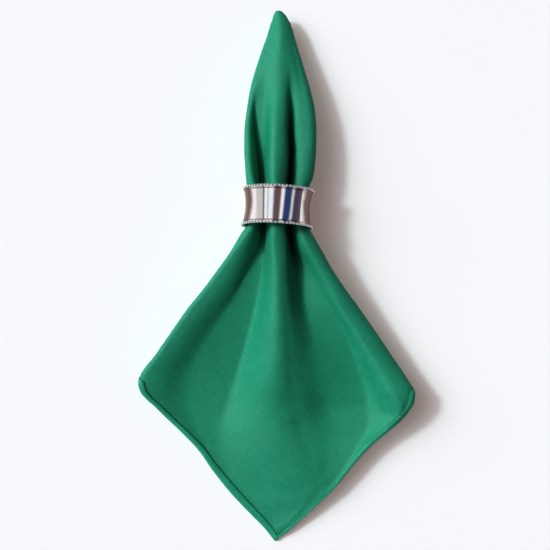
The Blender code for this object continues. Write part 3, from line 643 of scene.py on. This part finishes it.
def grid_faces(rows, columns, wrap=(False, False)):
    """The corners of each face of a grid of points, closed in the directions that wrap says."""
    index = np.arange(rows * columns).reshape(rows, columns)
    if wrap[0]:
        index = np.concatenate([index, index[:1]])
    if wrap[1]:
        index = np.concatenate([index, index[:, :1]], axis=1)
    return np.stack([index[:-1, :-1], index[:-1, 1:], index[1:, 1:], index[1:, :-1]], axis=-1)


def smooth_mesh(name, points, faces, uvs):
    """A smooth mesh, with a UV place for each corner of each face."""
    data = bpy.data.meshes.new(name)
    data.from_pydata(points.reshape(-1, 3), [], faces)
    layer = data.uv_layers.new(name="UVMap")
    layer.data.foreach_set("uv", uvs.astype(np.float32).ravel())
    data.shade_smooth()
    return data


def grid_mesh(name, points, uvs, wrap=(False, False)):
    """A smooth mesh of a grid of points. The UV grid has one more line where the mesh is closed."""
    faces = grid_faces(*points.shape[:2], wrap).reshape(-1, 4)
    corners = uvs[:-1, :-1], uvs[:-1, 1:], uvs[1:, 1:], uvs[1:, :-1]
    return smooth_mesh(name, points, faces, np.stack(corners, axis=2))


# Scales of the slubs, in steps a millimetre, along and across each set of threads
SLUB_SCALES = ((0.10, 2.2, 1.0), (2.2, 0.10, 1.0))

# Where the silver is darkened: painted reflection of a dark room, by how far round to its sides and how low
# in metres under the ring's axis; and dulling in the groove beside the beads, by the groove's two edges in
# metres from the ring's middle
SIDE_PAINTED_REFLECTION = (0.74, 0.84)
LOW_PAINTED_REFLECTION = (-0.008, -0.004)
GROOVE_START = (0.0085, 0.0090)
GROOVE_END = (0.0091, 0.0096)


class Nodes:
    """Short calls for making a material's nodes."""

    def __init__(self, name):
        self.material = bpy.data.materials.new(name)
        self.material.use_nodes = True
        self.tree = self.material.node_tree
        self.shader = self.tree.nodes["Principled BSDF"]

    def set_shader(self, **values):
        """Sets the shader's own sockets, named with underscores."""
        for name, value in values.items():
            self.shader.inputs[name.replace("_", " ")].default_value = value

    def add(self, kind, inputs=None, **settings):
        """Adds a node, sets it up and joins its inputs."""
        node = self.tree.nodes.new(kind)
        for name, value in settings.items():
            setattr(node, name, value)
        for name, value in (inputs or {}).items():
            self.join(value, node.inputs[name])
        return node

    def join(self, value, socket):
        """Links an output to a socket, or sets the socket to a value."""
        if isinstance(value, bpy.types.NodeSocket):
            self.tree.links.new(value, socket)
        else:
            socket.default_value = value

    def maths(self, operation, first, second=0.0, third=0.0):
        """Output of a Math node."""
        node = self.add("ShaderNodeMath", {0: first, 1: second, 2: third}, operation=operation)
        return node.outputs[0]

    def total(self, first, *others):
        """Output of Math nodes that add up all the inputs."""
        for other in others:
            first = self.maths("ADD", first, other)
        return first

    def uv(self):
        """Output of the mesh's UV map."""
        return self.add("ShaderNodeUVMap", uv_map="UVMap").outputs[0]

    def object_place(self):
        """Output of the place in the object's own frame, in metres."""
        return self.add("ShaderNodeTexCoord").outputs["Object"]

    def mix(self, share, first, second):
        """Output of a colour mix."""
        node = self.add("ShaderNodeMix", {0: share, 6: first, 7: second}, data_type="RGBA")
        return node.outputs[2]

    def noise(self, vector, scale, detail=3.0, roughness=0.5):
        """Output of a noise texture."""
        inputs = {"Vector": vector, "Scale": scale, "Detail": detail, "Roughness": roughness}
        return self.add("ShaderNodeTexNoise", inputs).outputs["Fac"]

    def stretched(self, vector, scale):
        """A vector scaled on each axis."""
        node = self.add("ShaderNodeVectorMath", {0: vector, 1: scale}, operation="MULTIPLY")
        return node.outputs[0]

    def range(self, value, low, high, new_low, new_high):
        """Output of a Map Range node."""
        inputs = {"Value": value, "From Min": low, "From Max": high, "To Min": new_low, "To Max": new_high}
        return self.add("ShaderNodeMapRange", inputs).outputs[0]

    def ramp(self, value, stops):
        """Output of a colour ramp through stops of (place, colour)."""
        node = self.add("ShaderNodeValToRGB", {0: value})
        elements = node.color_ramp.elements
        while len(elements) < len(stops):
            elements.new(0.5)
        for element, (place, colour) in zip(elements, stops):
            element.position = place
            element.color = (*colour, 1.0)
        return node.outputs[0]

    def bump(self, height, distance, strength=1.0, normal=None):
        """Output of a bump node, with its distance in metres."""
        inputs = {"Height": height, "Distance": distance, "Strength": strength}
        if normal is not None:
            inputs["Normal"] = normal
        return self.add("ShaderNodeBump", inputs).outputs[0]


def shade(colour, factor=1.0, paler=0.0):
    """A colour made darker or lighter and a little paler, with its alpha."""
    return (*(min(factor * value + paler, 1.0) for value in colour), 1.0)


def linen_material(settings, span):
    """Plain-weave dyed linen, with slubs along both sets of threads, painted shade in the gaps of the weave
    and along the seam, and a painted highlight on the hem band.
    """
    make = Nodes("green linen")
    place = make.stretched(make.uv(), (span / MM, span / MM, 1.0))
    split = make.add("ShaderNodeSeparateXYZ", {0: place})
    pitch = settings.thread_pitch / MM
    turns = [make.maths("MULTIPLY", split.outputs[k], math.pi / pitch) for k in (0, 1)]
    waves = [make.maths("SINE", turn) for turn in turns]
    over = make.range(make.maths("MULTIPLY", *waves), -0.25, 0.25, 0.0, 1.0)
    gaps = [make.maths("POWER", make.maths("ABSOLUTE", make.maths("COSINE", turn)), 3.0) for turn in turns]
    rounds = [make.maths("SUBTRACT", 1.0, gap) for gap in gaps]
    weave = make.add("ShaderNodeMix", {0: over, 2: rounds[0], 3: rounds[1]}).outputs[0]
    slubs = make.total(*(make.noise(make.stretched(place, scale), 1.0, 3.0, 0.6) for scale in SLUB_SCALES))
    grain = make.noise(place, 1.6, 2.0, 0.7)
    cloudy = make.noise(place, 0.03, 2.0, 0.5)

    middle = span / 2 / MM
    from_middle = [make.maths("ABSOLUTE", make.maths("SUBTRACT", split.outputs[k], middle)) for k in (0, 1)]
    inset = make.maths("SUBTRACT", settings.side / 2 / MM, make.maths("MAXIMUM", *from_middle))
    hem = settings.hem_width / MM
    # Painted shade along the seam's groove: a dark line in the thread's colour, fading out near the corners
    from_seam = make.maths("ABSOLUTE", make.maths("SUBTRACT", inset, hem - FoldedCloth.SEAM_INSET))
    from_corner = make.maths("MINIMUM", *from_middle)
    seam_painted_shade = make.maths("MULTIPLY", make.range(from_seam, 0.1, 0.8, 0.55, 0.0),
                      make.range(from_corner, 3.0, 12.0, 0.0, 1.0))

    # Mix between a darker and a lighter copy of the linen: random slubs, grain and clouds; painted shade in
    # the gaps between threads of the weave; and a painted highlight that makes the hem band lighter
    tone_and_painted_light = make.total(make.range(slubs, 0.7, 1.3, 0.0, 0.62),
                      make.range(grain, 0.2, 0.8, -0.14, 0.42),
                      make.range(cloudy, 0.3, 0.7, -0.06, 0.06),
                      make.range(weave, 0.0, 1.0, -0.07, 0.09),
                      make.range(inset, hem - 0.8, hem - 0.3, 0.3, 0.0))
    colour = settings.linen_colour
    cloth = make.mix(tone_and_painted_light, shade(colour, 0.76), shade(colour, 1.2, 0.014))
    make.join(make.mix(seam_painted_shade, cloth, shade(settings.thread_and_seam_shade_colour)), make.shader.inputs["Base Color"])
    make.join(make.range(slubs, 0.7, 1.3, 0.58, 0.68), make.shader.inputs["Roughness"])
    relief = make.total(make.maths("MULTIPLY", weave, 0.5), make.maths("MULTIPLY", slubs, 0.7),
                        make.maths("MULTIPLY", grain, 0.3))
    make.join(make.bump(relief, 0.00009, 0.8), make.shader.inputs["Normal"])
    make.set_shader(Specular_IOR_Level=0.7, Sheen_Weight=0.04, Sheen_Roughness=0.5,
                    Sheen_Tint=(0.55, 0.95, 0.80, 1.0))
    return make.material


def thread_material(settings):
    """Twisted sewing thread, a shade darker than the linen, with painted shade in the grooves of its twist.
    """
    make = Nodes("green sewing thread")
    # Bands round the twist: its bump, and painted shade in its grooves
    twist_relief_and_shade = make.add("ShaderNodeTexWave", {"Vector": make.uv(), "Scale": 3.0, "Distortion": 0.6},
                     bands_direction="DIAGONAL").outputs["Fac"]
    colour = settings.thread_and_seam_shade_colour
    make.join(make.mix(twist_relief_and_shade, shade(colour, 0.7), shade(colour)), make.shader.inputs["Base Color"])
    make.join(make.bump(twist_relief_and_shade, 0.00004), make.shader.inputs["Normal"])
    make.set_shader(Roughness=0.7, Specular_IOR_Level=0.3)
    return make.material


def band_patina_and_painted_reflection(make, coords, stains):
    """Share of the tarnish colour on the band: painted reflection of a dark room at its sides and low down,
    and dulling in the groove beside each row of beads.
    """
    x, y, z = make.add("ShaderNodeSeparateXYZ", {0: coords}).outputs
    square = make.maths("ADD", make.maths("MULTIPLY", x, x), make.maths("MULTIPLY", z, z))
    aside = make.maths("DIVIDE", make.maths("ABSOLUTE", x), make.maths("SQRT", square))
    aside = make.maths("ADD", aside, make.range(stains, 0.3, 0.7, -0.02, 0.02))
    # Painted reflection: the sides and the part under the axis are darkened as if they mirrored a dark room
    sides = make.range(aside, *SIDE_PAINTED_REFLECTION, 0.0, 1.0)
    low = make.range(z, *LOW_PAINTED_REFLECTION, 1.0, 0.0)
    end = make.maths("ABSOLUTE", y)
    groove = make.maths("MULTIPLY", make.range(end, *GROOVE_START, 0.0, 0.8),
                        make.range(end, *GROOVE_END, 1.0, 0.1))
    return make.maths("MAXIMUM", make.maths("MAXIMUM", sides, low), groove)


def silver_material(settings, name, is_band):
    """Polished silver with rubbing marks and tarnish spots, and on the band also dulled hollows and painted
    reflection of a dark room on its sides and lower part.
    """
    make = Nodes(name)
    coords = make.object_place()
    rubs = make.noise(make.stretched(make.uv(), (4.0, 60.0, 1.0)), 6.0, 4.0, 0.6)
    stains = make.noise(coords, 240.0, 4.0, 0.6)
    tarnish_and_painted_reflection = make.range(stains, 0.62, 0.8, 0.0, 0.25)
    if is_band:
        # On the band, add the painted reflection on its sides and lower part, and the dulled groove
        tarnish_and_painted_reflection = make.maths("MAXIMUM", band_patina_and_painted_reflection(make, coords, stains), tarnish_and_painted_reflection)
    make.join(make.mix(tarnish_and_painted_reflection, shade(settings.silver_colour), shade(settings.tarnish_and_reflection_colour)),
              make.shader.inputs["Base Color"])
    rough = settings.roughness
    rubbed = make.range(rubs, 0.3, 0.7, rough * 0.7, rough * 1.5)
    make.join(make.total(rubbed, make.range(tarnish_and_painted_reflection, 0.0, 1.0, 0.0, 0.12)), make.shader.inputs["Roughness"])
    dents = make.noise(coords, 160.0, 2.0, 0.5)
    normal = make.bump(dents, 0.00012, 0.25 if is_band else 0.1)
    make.join(make.bump(rubs, 0.000004, 0.4, normal), make.shader.inputs["Normal"])
    make.set_shader(Metallic=1.0)
    return make.material


def table_material(settings):
    """Matt painted table top, nearly white, with a very faint unevenness, and a glow of painted fill light
    that keeps its shadows light and warm.
    """
    make = Nodes("pale table")
    coords = make.object_place()
    clouds = make.noise(coords, 9.0, 3.0, 0.5)
    grain = make.noise(coords, 900.0, 2.0, 0.5)
    colour = settings.table_colour
    make.join(make.mix(clouds, shade(colour, 0.985), shade(colour)), make.shader.inputs["Base Color"])
    make.join(make.range(grain, 0.3, 0.7, 0.72, 0.86), make.shader.inputs["Roughness"])
    make.join(make.bump(grain, 0.00002, 0.3), make.shader.inputs["Normal"])
    # Painted fill light: the glow lifts and warms the shadows on the table
    make.set_shader(Specular_IOR_Level=0.2, Emission_Color=(*settings.table_painted_fill_glow, 1.0),
                    Emission_Strength=1.0)
    return make.material


def ring_matrix():
    """Place and turn of the ring, read from its node's box."""
    settings = bpy.context.scene.napkin_ring
    low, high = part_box("ring")
    centre = (Vector(low) + Vector(high)) / 2
    turn = Matrix.Rotation(settings.yaw, 4, "Z") @ Matrix.Rotation(-settings.pitch, 4, "X")
    return Matrix.Translation(centre) @ turn


class NAPKIN_OT_fold(Operator):
    """Folds the square linen napkin in quarters and drapes it through the ring"""

    bl_idname = "napkin.fold"
    bl_label = "Fold napkin"

    def execute(self, context):
        settings = context.scene.napkin_cloth
        cloth = FoldedCloth(settings)
        fine = cloth.lines(settings.fine_step / MM, cloth.FINE_HEM)
        coarse = cloth.lines(settings.coarse_step / MM, cloth.COARSE_HEM)
        places = np.concatenate([-fine[::-1], [0.0], coarse])
        a, b = np.meshgrid(places, -places, indexing="ij")
        reach = max(fine[-1], coarse[-1])
        uvs = (np.stack([a, b], axis=-1) / reach + 1) / 2
        napkin = new_piece("linen_napkin", grid_mesh("linen napkin", cloth.place(a, b), uvs),
                           linen_material(settings, 2 * reach * MM))
        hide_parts("napkin")
        return {"FINISHED"}


class NAPKIN_OT_sew(Operator):
    """Sews the stitches that show along the hems of the outer plies"""

    bl_idname = "napkin.sew"
    bl_label = "Sew hems"

    SIDES = 5
    STATIONS = 5
    FIRST_STITCH = 9.0     # millimetres from the fold
    END_SHARE = 0.25       # how thick the thread is where it goes into the cloth
    STANDS = 0.4           # how far its middle is over the cloth, in its own radius

    def execute(self, context):
        settings = context.scene.napkin_cloth
        cloth = FoldedCloth(settings)
        pitch = (settings.stitch_length + settings.stitch_gap) / MM
        inset = cloth.half - cloth.hem + cloth.SEAM_INSET
        starts = np.arange(self.FIRST_STITCH, cloth.half - cloth.hem - pitch, pitch)
        share = np.linspace(0, 1, self.STATIONS)
        runs = starts[:, None] + share * settings.stitch_length / MM
        arch = self.END_SHARE + (1 - self.END_SHARE) * np.sin(math.pi * share) ** 0.5
        thick = (settings.thread_radius / MM * arch)[:, None]
        angles = np.arange(self.SIDES) * 2 * math.pi / self.SIDES
        run = np.broadcast_to(runs[:, :, None], (*runs.shape, self.SIDES))
        aside = np.broadcast_to(inset + thick * np.cos(angles), run.shape)
        lift = np.broadcast_to(thick * (self.STANDS + np.sin(angles)), run.shape)
        tubes = np.concatenate([cloth.place(*places, lift) for side in (-1, 1)
                                for places in ((side * run, aside), (side * aside, run))])
        tube = grid_faces(self.STATIONS, self.SIDES, (False, True)).reshape(-1, 4)
        firsts = self.SIDES * self.STATIONS * np.arange(len(tubes))[:, None, None]
        ring = np.arange(self.SIDES)
        ends = np.array([ring[::-1], ring + self.SIDES * (self.STATIONS - 1)])
        faces = (firsts + tube).reshape(-1, 4).tolist() + (firsts + ends).reshape(-1, self.SIDES).tolist()
        corner = np.concatenate(faces)
        station = (corner // self.SIDES) % self.STATIONS / (self.STATIONS - 1)
        uvs = np.stack([station, corner % self.SIDES / self.SIDES], axis=-1)
        data = smooth_mesh("hem stitches", tubes, faces, uvs)
        stitches = new_piece("hem_stitches", data, thread_material(settings))
        return {"FINISHED"}


class NAPKIN_OT_band(Operator):
    """Turns the waisted silver band of the ring"""

    bl_idname = "napkin.band"
    bl_label = "Turn ring band"

    STEPS = 256
    ARC_POINTS = 40
    LEDGE_INSET = 1.15     # of the ledge beside each row of beads, from the beads, in millimetres
    LEDGE_RISE = 0.16
    LEDGE_WIDTH = 0.22
    LIP = 0.35             # how far each rim's end is rounded out

    def profile(self, settings):
        """Closed outline (radius, place along the axis) of the band."""
        beads = settings.rim_radius - settings.bead_radius
        rise = beads - settings.waist_radius
        half = settings.half_length - settings.bead_radius
        arc_radius = (half ** 2 + rise ** 2) / (2 * rise)
        along = np.linspace(-half, half, self.ARC_POINTS)
        arc = settings.waist_radius + arc_radius - np.sqrt(arc_radius ** 2 - along ** 2)
        outer = arc
        for end in (-1, 1):
            from_ledge = (along - end * (half - self.LEDGE_INSET * MM)) / (self.LEDGE_WIDTH * MM)
            outer = outer + self.LEDGE_RISE * MM * np.exp(-from_ledge ** 2)
        lip = self.LIP * MM
        top = [(beads, half + lip * 0.7), (beads - 0.5 * settings.wall, half + lip),
               (beads - settings.wall, half + lip * 0.7)]
        bottom = [(r, -a) for r, a in top[::-1]]
        inner = zip(arc[::-1] - settings.wall, along[::-1])
        return np.array([*zip(outer, along), *top, *inner, *bottom])

    def execute(self, context):
        settings = context.scene.napkin_ring
        profile = self.profile(settings)
        turn = np.linspace(0, 2 * math.pi, self.STEPS + 1)[:, None]
        r, along = profile.T
        points = np.stack([r * np.sin(turn), along * np.ones_like(turn), r * np.cos(turn)], axis=-1)
        v = np.append(np.linspace(0, 1, len(profile)), 1.0)
        uvs = np.stack(np.broadcast_arrays(turn / (2 * math.pi), v), axis=-1)
        data = grid_mesh("silver band", points[:-1], uvs, (True, True))
        band = new_piece("silver_band", data, silver_material(settings, "polished silver", True))
        band.matrix_world = ring_matrix()
        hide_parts("ring")
        return {"FINISHED"}


class NAPKIN_OT_beads(Operator):
    """Sets a row of small silver beads round each rim of the ring"""

    bl_idname = "napkin.beads"
    bl_label = "Set rim beads"

    RINGS = 7              # between the two poles of a bead
    SEGMENTS = 14

    def ball(self, radius):
        """Points of a ball with its poles last, and its faces."""
        lat = np.linspace(-math.pi / 2, math.pi / 2, self.RINGS + 2)[1:-1, None]
        lon = np.arange(self.SEGMENTS) * 2 * math.pi / self.SEGMENTS
        rings = np.stack([np.cos(lat) * np.cos(lon), np.cos(lat) * np.sin(lon),
                          np.sin(lat) * np.ones_like(lon)], axis=-1)
        points = np.concatenate([rings.reshape(-1, 3), [(0, 0, -1), (0, 0, 1)]]) * radius
        low = np.arange(self.SEGMENTS)
        high = low + self.SEGMENTS * (self.RINGS - 1)
        low_next, high_next = np.roll(low, -1), np.roll(high, -1)
        south, north = (np.full_like(low, len(points) - k) for k in (2, 1))
        caps = np.concatenate([np.stack([south, low_next, low], axis=-1),
                               np.stack([high, high_next, north], axis=-1)])
        sides = grid_faces(self.RINGS, self.SEGMENTS, (False, True)).reshape(-1, 4)
        return points, sides, caps

    def execute(self, context):
        settings = context.scene.napkin_ring
        radius = settings.bead_radius
        ball, sides, caps = self.ball(radius)
        ends, counts = np.meshgrid((-1, 1), np.arange(settings.bead_count), indexing="ij")
        turn = 2 * math.pi * (counts + 0.25 * ends) / settings.bead_count
        reach = settings.rim_radius - radius
        centres = np.stack([reach * np.sin(turn), ends * (settings.half_length - radius),
                            reach * np.cos(turn)], axis=-1).reshape(-1, 1, 3)
        firsts = len(ball) * np.arange(len(centres))[:, None, None]
        faces = (firsts + sides).reshape(-1, 4).tolist() + (firsts + caps).reshape(-1, 3).tolist()
        corner = np.concatenate(faces) % len(ball)
        uvs = (ball[corner][:, (0, 2)] / radius + 1) / 2
        data = smooth_mesh("rim beads", centres + ball, faces, uvs)
        beads = new_piece("rim_beads", data, silver_material(settings, "polished silver beads", False))
        beads.matrix_world = ring_matrix()
        return {"FINISHED"}


# What the polished ring mirrors: bands from one angle to another, measured from straight up to the
# right, with soft steps between them
ROOM_COLOURS = {
    "window": (1.06, 1.03, 1.06), "sky": (0.93, 1.0, 1.07), "wall": (0.74, 0.74, 0.74),
    "bar": (0.30, 0.30, 0.32), "shade": (0.25, 0.18, 0.19), "blue": (0.08, 0.13, 0.28),
    "plum": (0.14, 0.13, 0.21), "dusk": (0.23, 0.18, 0.21),
}
ROOM_BANDS = (
    (-100, -88, "window"), (-76, -56, "wall"), (-52, -50, "bar"), (-45, -41, "window"),
    (-36, -34, "wall"), (-29, -19, "sky"), (-11, 6, "shade"), (14, 17, "window"), (26, 44, "blue"),
    (50, 54, "wall"), (61, 73, "plum"), (82, 100, "dusk"),
)
RING_PIECES = ("silver_band", "rim_beads")
TENT_RADIUS = 1.8
TENT_LENGTH = 8.0
TENT_STEPS = 96
TENT_FOOT = 0.001                                       # height of its foot over the table
TABLE_REACH = 6.0
LIGHT_WAY = Vector((-0.85, 0.34, 1.0)).normalized()     # from the napkin towards the window light
SUN_COLOUR = (1.0, 0.995, 0.985)
ROOM_LIGHT = (1.0, 0.98, 0.95, 1.0)


def tent_material():
    """A glow whose colour goes by the angle round the tent."""
    make = Nodes("reflection tent")
    make.tree.nodes.remove(make.shader)
    across = make.add("ShaderNodeSeparateXYZ", {0: make.uv()}).outputs[0]
    low, high = ROOM_BANDS[0][0], ROOM_BANDS[-1][1]
    stops = [((angle - low) / (high - low), ROOM_COLOURS[name])
             for start, end, name in ROOM_BANDS for angle in (start, end)]
    glow = make.add("ShaderNodeEmission", {"Color": make.ramp(across, stops), "Strength": 1.0})
    output = next(node for node in make.tree.nodes if node.type == "OUTPUT_MATERIAL")
    make.join(glow.outputs[0], output.inputs["Surface"])
    return make.material


def link_to_ring(light, name, state):
    """Makes a light reach the ring's pieces alone, or all but them."""
    group = bpy.data.collections.new(name)
    for piece in RING_PIECES:
        group.objects.link(bpy.data.objects[piece])
    for member in group.collection_objects:
        member.light_linking.link_state = state
    light.light_linking.receiver_collection = group


def add_tent():
    """A half-round tent over the table that only shows in the ring."""
    angles = np.radians(np.linspace(ROOM_BANDS[0][0], ROOM_BANDS[-1][1], TENT_STEPS + 1))[:, None]
    ends = np.array([-TENT_LENGTH / 2, TENT_LENGTH / 2])
    x = TENT_RADIUS * np.sin(angles)
    z = np.maximum(TENT_RADIUS * np.cos(angles), TENT_FOOT)
    points = np.stack(np.broadcast_arrays(x, ends, z), axis=-1)
    across = np.linspace(0, 1, len(angles))[:, None]
    uvs = np.stack(np.broadcast_arrays(across, np.array([0.0, 1.0])), axis=-1)
    tent = link_object("reflection_tent", grid_mesh("tent", points, uvs))
    tent.data.materials.append(tent_material())
    tent.visible_camera = tent.visible_diffuse = tent.visible_shadow = False
    tent.visible_transmission = tent.visible_volume_scatter = False
    link_to_ring(tent, "lights the ring alone", "INCLUDE")


def add_table(settings):
    """The table top."""
    data = bpy.data.meshes.new("table")
    corners = [(x * TABLE_REACH, y * TABLE_REACH, 0) for x, y in ((-1, -1), (1, -1), (1, 1), (-1, 1))]
    data.from_pydata(corners, [], [(0, 1, 2, 3)])
    data.materials.append(table_material(settings))
    link_object("table_top", data)


def add_sun(name, strength, spread):
    """A far light from the upper left that lights all but the ring."""
    data = bpy.data.lights.new(name, "SUN")
    data.energy = strength
    data.angle = spread
    data.color = SUN_COLOUR
    sun = link_object(name.replace(" ", "_"), data)
    sun.rotation_euler = LIGHT_WAY.to_track_quat("Z", "Y").to_euler()
    link_to_ring(sun, name + " on all but the ring", "EXCLUDE")


def add_lights(settings):
    """Light from the upper left, of a window, its pale frame and the wall, and light from all round."""
    add_sun("window light", settings.key_strength, settings.key_spread)
    add_sun("frame light", settings.frame_strength, settings.frame_spread)
    add_sun("wall light", settings.soft_strength, settings.soft_spread)
    world = bpy.data.worlds.new("room light")
    world.use_nodes = True
    background = world.node_tree.nodes["Background"]
    background.inputs[0].default_value = ROOM_LIGHT
    background.inputs[1].default_value = settings.fill_strength
    bpy.context.scene.world = world


def add_camera(settings):
    """The camera, straight above, with the closed corner up."""
    data = bpy.data.cameras.new("camera")
    data.sensor_width = 36.0
    data.lens = data.sensor_width * settings.camera_height / settings.view_width
    data.clip_start = 0.01
    data.clip_end = 50.0
    camera = link_object("camera", data)
    camera.location = (settings.camera_x, settings.camera_y, settings.camera_height)
    bpy.context.scene.camera = camera


class NAPKIN_OT_stage(Operator):
    """Makes the table, the light, what the silver mirrors, and the camera"""

    bl_idname = "napkin.stage"
    bl_label = "Set the stage"

    def execute(self, context):
        settings = context.scene.napkin_stage
        add_table(settings)
        add_tent()
        add_lights(settings)
        add_camera(settings)
        context.scene.view_settings.view_transform = "Standard"
        context.scene.view_settings.look = "None"
        context.scene.view_settings.gamma = 1 / settings.contrast
        return {"FINISHED"}


class NAPKIN_PT_panel(Panel):
    """Lists the steps that make the napkin in its ring"""

    bl_label = "Napkin in a Ring"
    bl_idname = "NAPKIN_PT_panel"
    bl_space_type = "VIEW_3D"
    bl_region_type = "UI"
    bl_category = "Napkin"

    def draw(self, context):
        scene = context.scene
        groups = ((scene.napkin_cloth, (NAPKIN_OT_fold, NAPKIN_OT_sew)),
                  (scene.napkin_ring, (NAPKIN_OT_band, NAPKIN_OT_beads)),
                  (scene.napkin_stage, (NAPKIN_OT_stage,)))
        for settings, operators in groups:
            box = self.layout.box()
            for name in type(settings).__annotations__:
                box.prop(settings, name)
            for operator in operators:
                box.operator(operator.bl_idname)


CLASSES = (NapkinSettings, RingSettings, StageSettings, NAPKIN_OT_fold, NAPKIN_OT_sew, NAPKIN_OT_band,
           NAPKIN_OT_beads, NAPKIN_OT_stage, NAPKIN_PT_panel)


def register():
    """Registers the classes and adds the settings to the scene."""
    for each in CLASSES:
        bpy.utils.register_class(each)
    bpy.types.Scene.napkin_cloth = PointerProperty(type=NapkinSettings)
    bpy.types.Scene.napkin_ring = PointerProperty(type=RingSettings)
    bpy.types.Scene.napkin_stage = PointerProperty(type=StageSettings)


def unregister():
    """Takes the settings off the scene and unregisters the classes."""
    del bpy.types.Scene.napkin_cloth
    del bpy.types.Scene.napkin_ring
    del bpy.types.Scene.napkin_stage
    for each in reversed(CLASSES):
        bpy.utils.unregister_class(each)


def main():
    """Makes every piece and the stage."""
    register()
    bpy.ops.napkin.fold()
    bpy.ops.napkin.sew()
    bpy.ops.napkin.band()
    bpy.ops.napkin.beads()
    bpy.ops.napkin.stage()


if __name__ == "__main__":
    main()
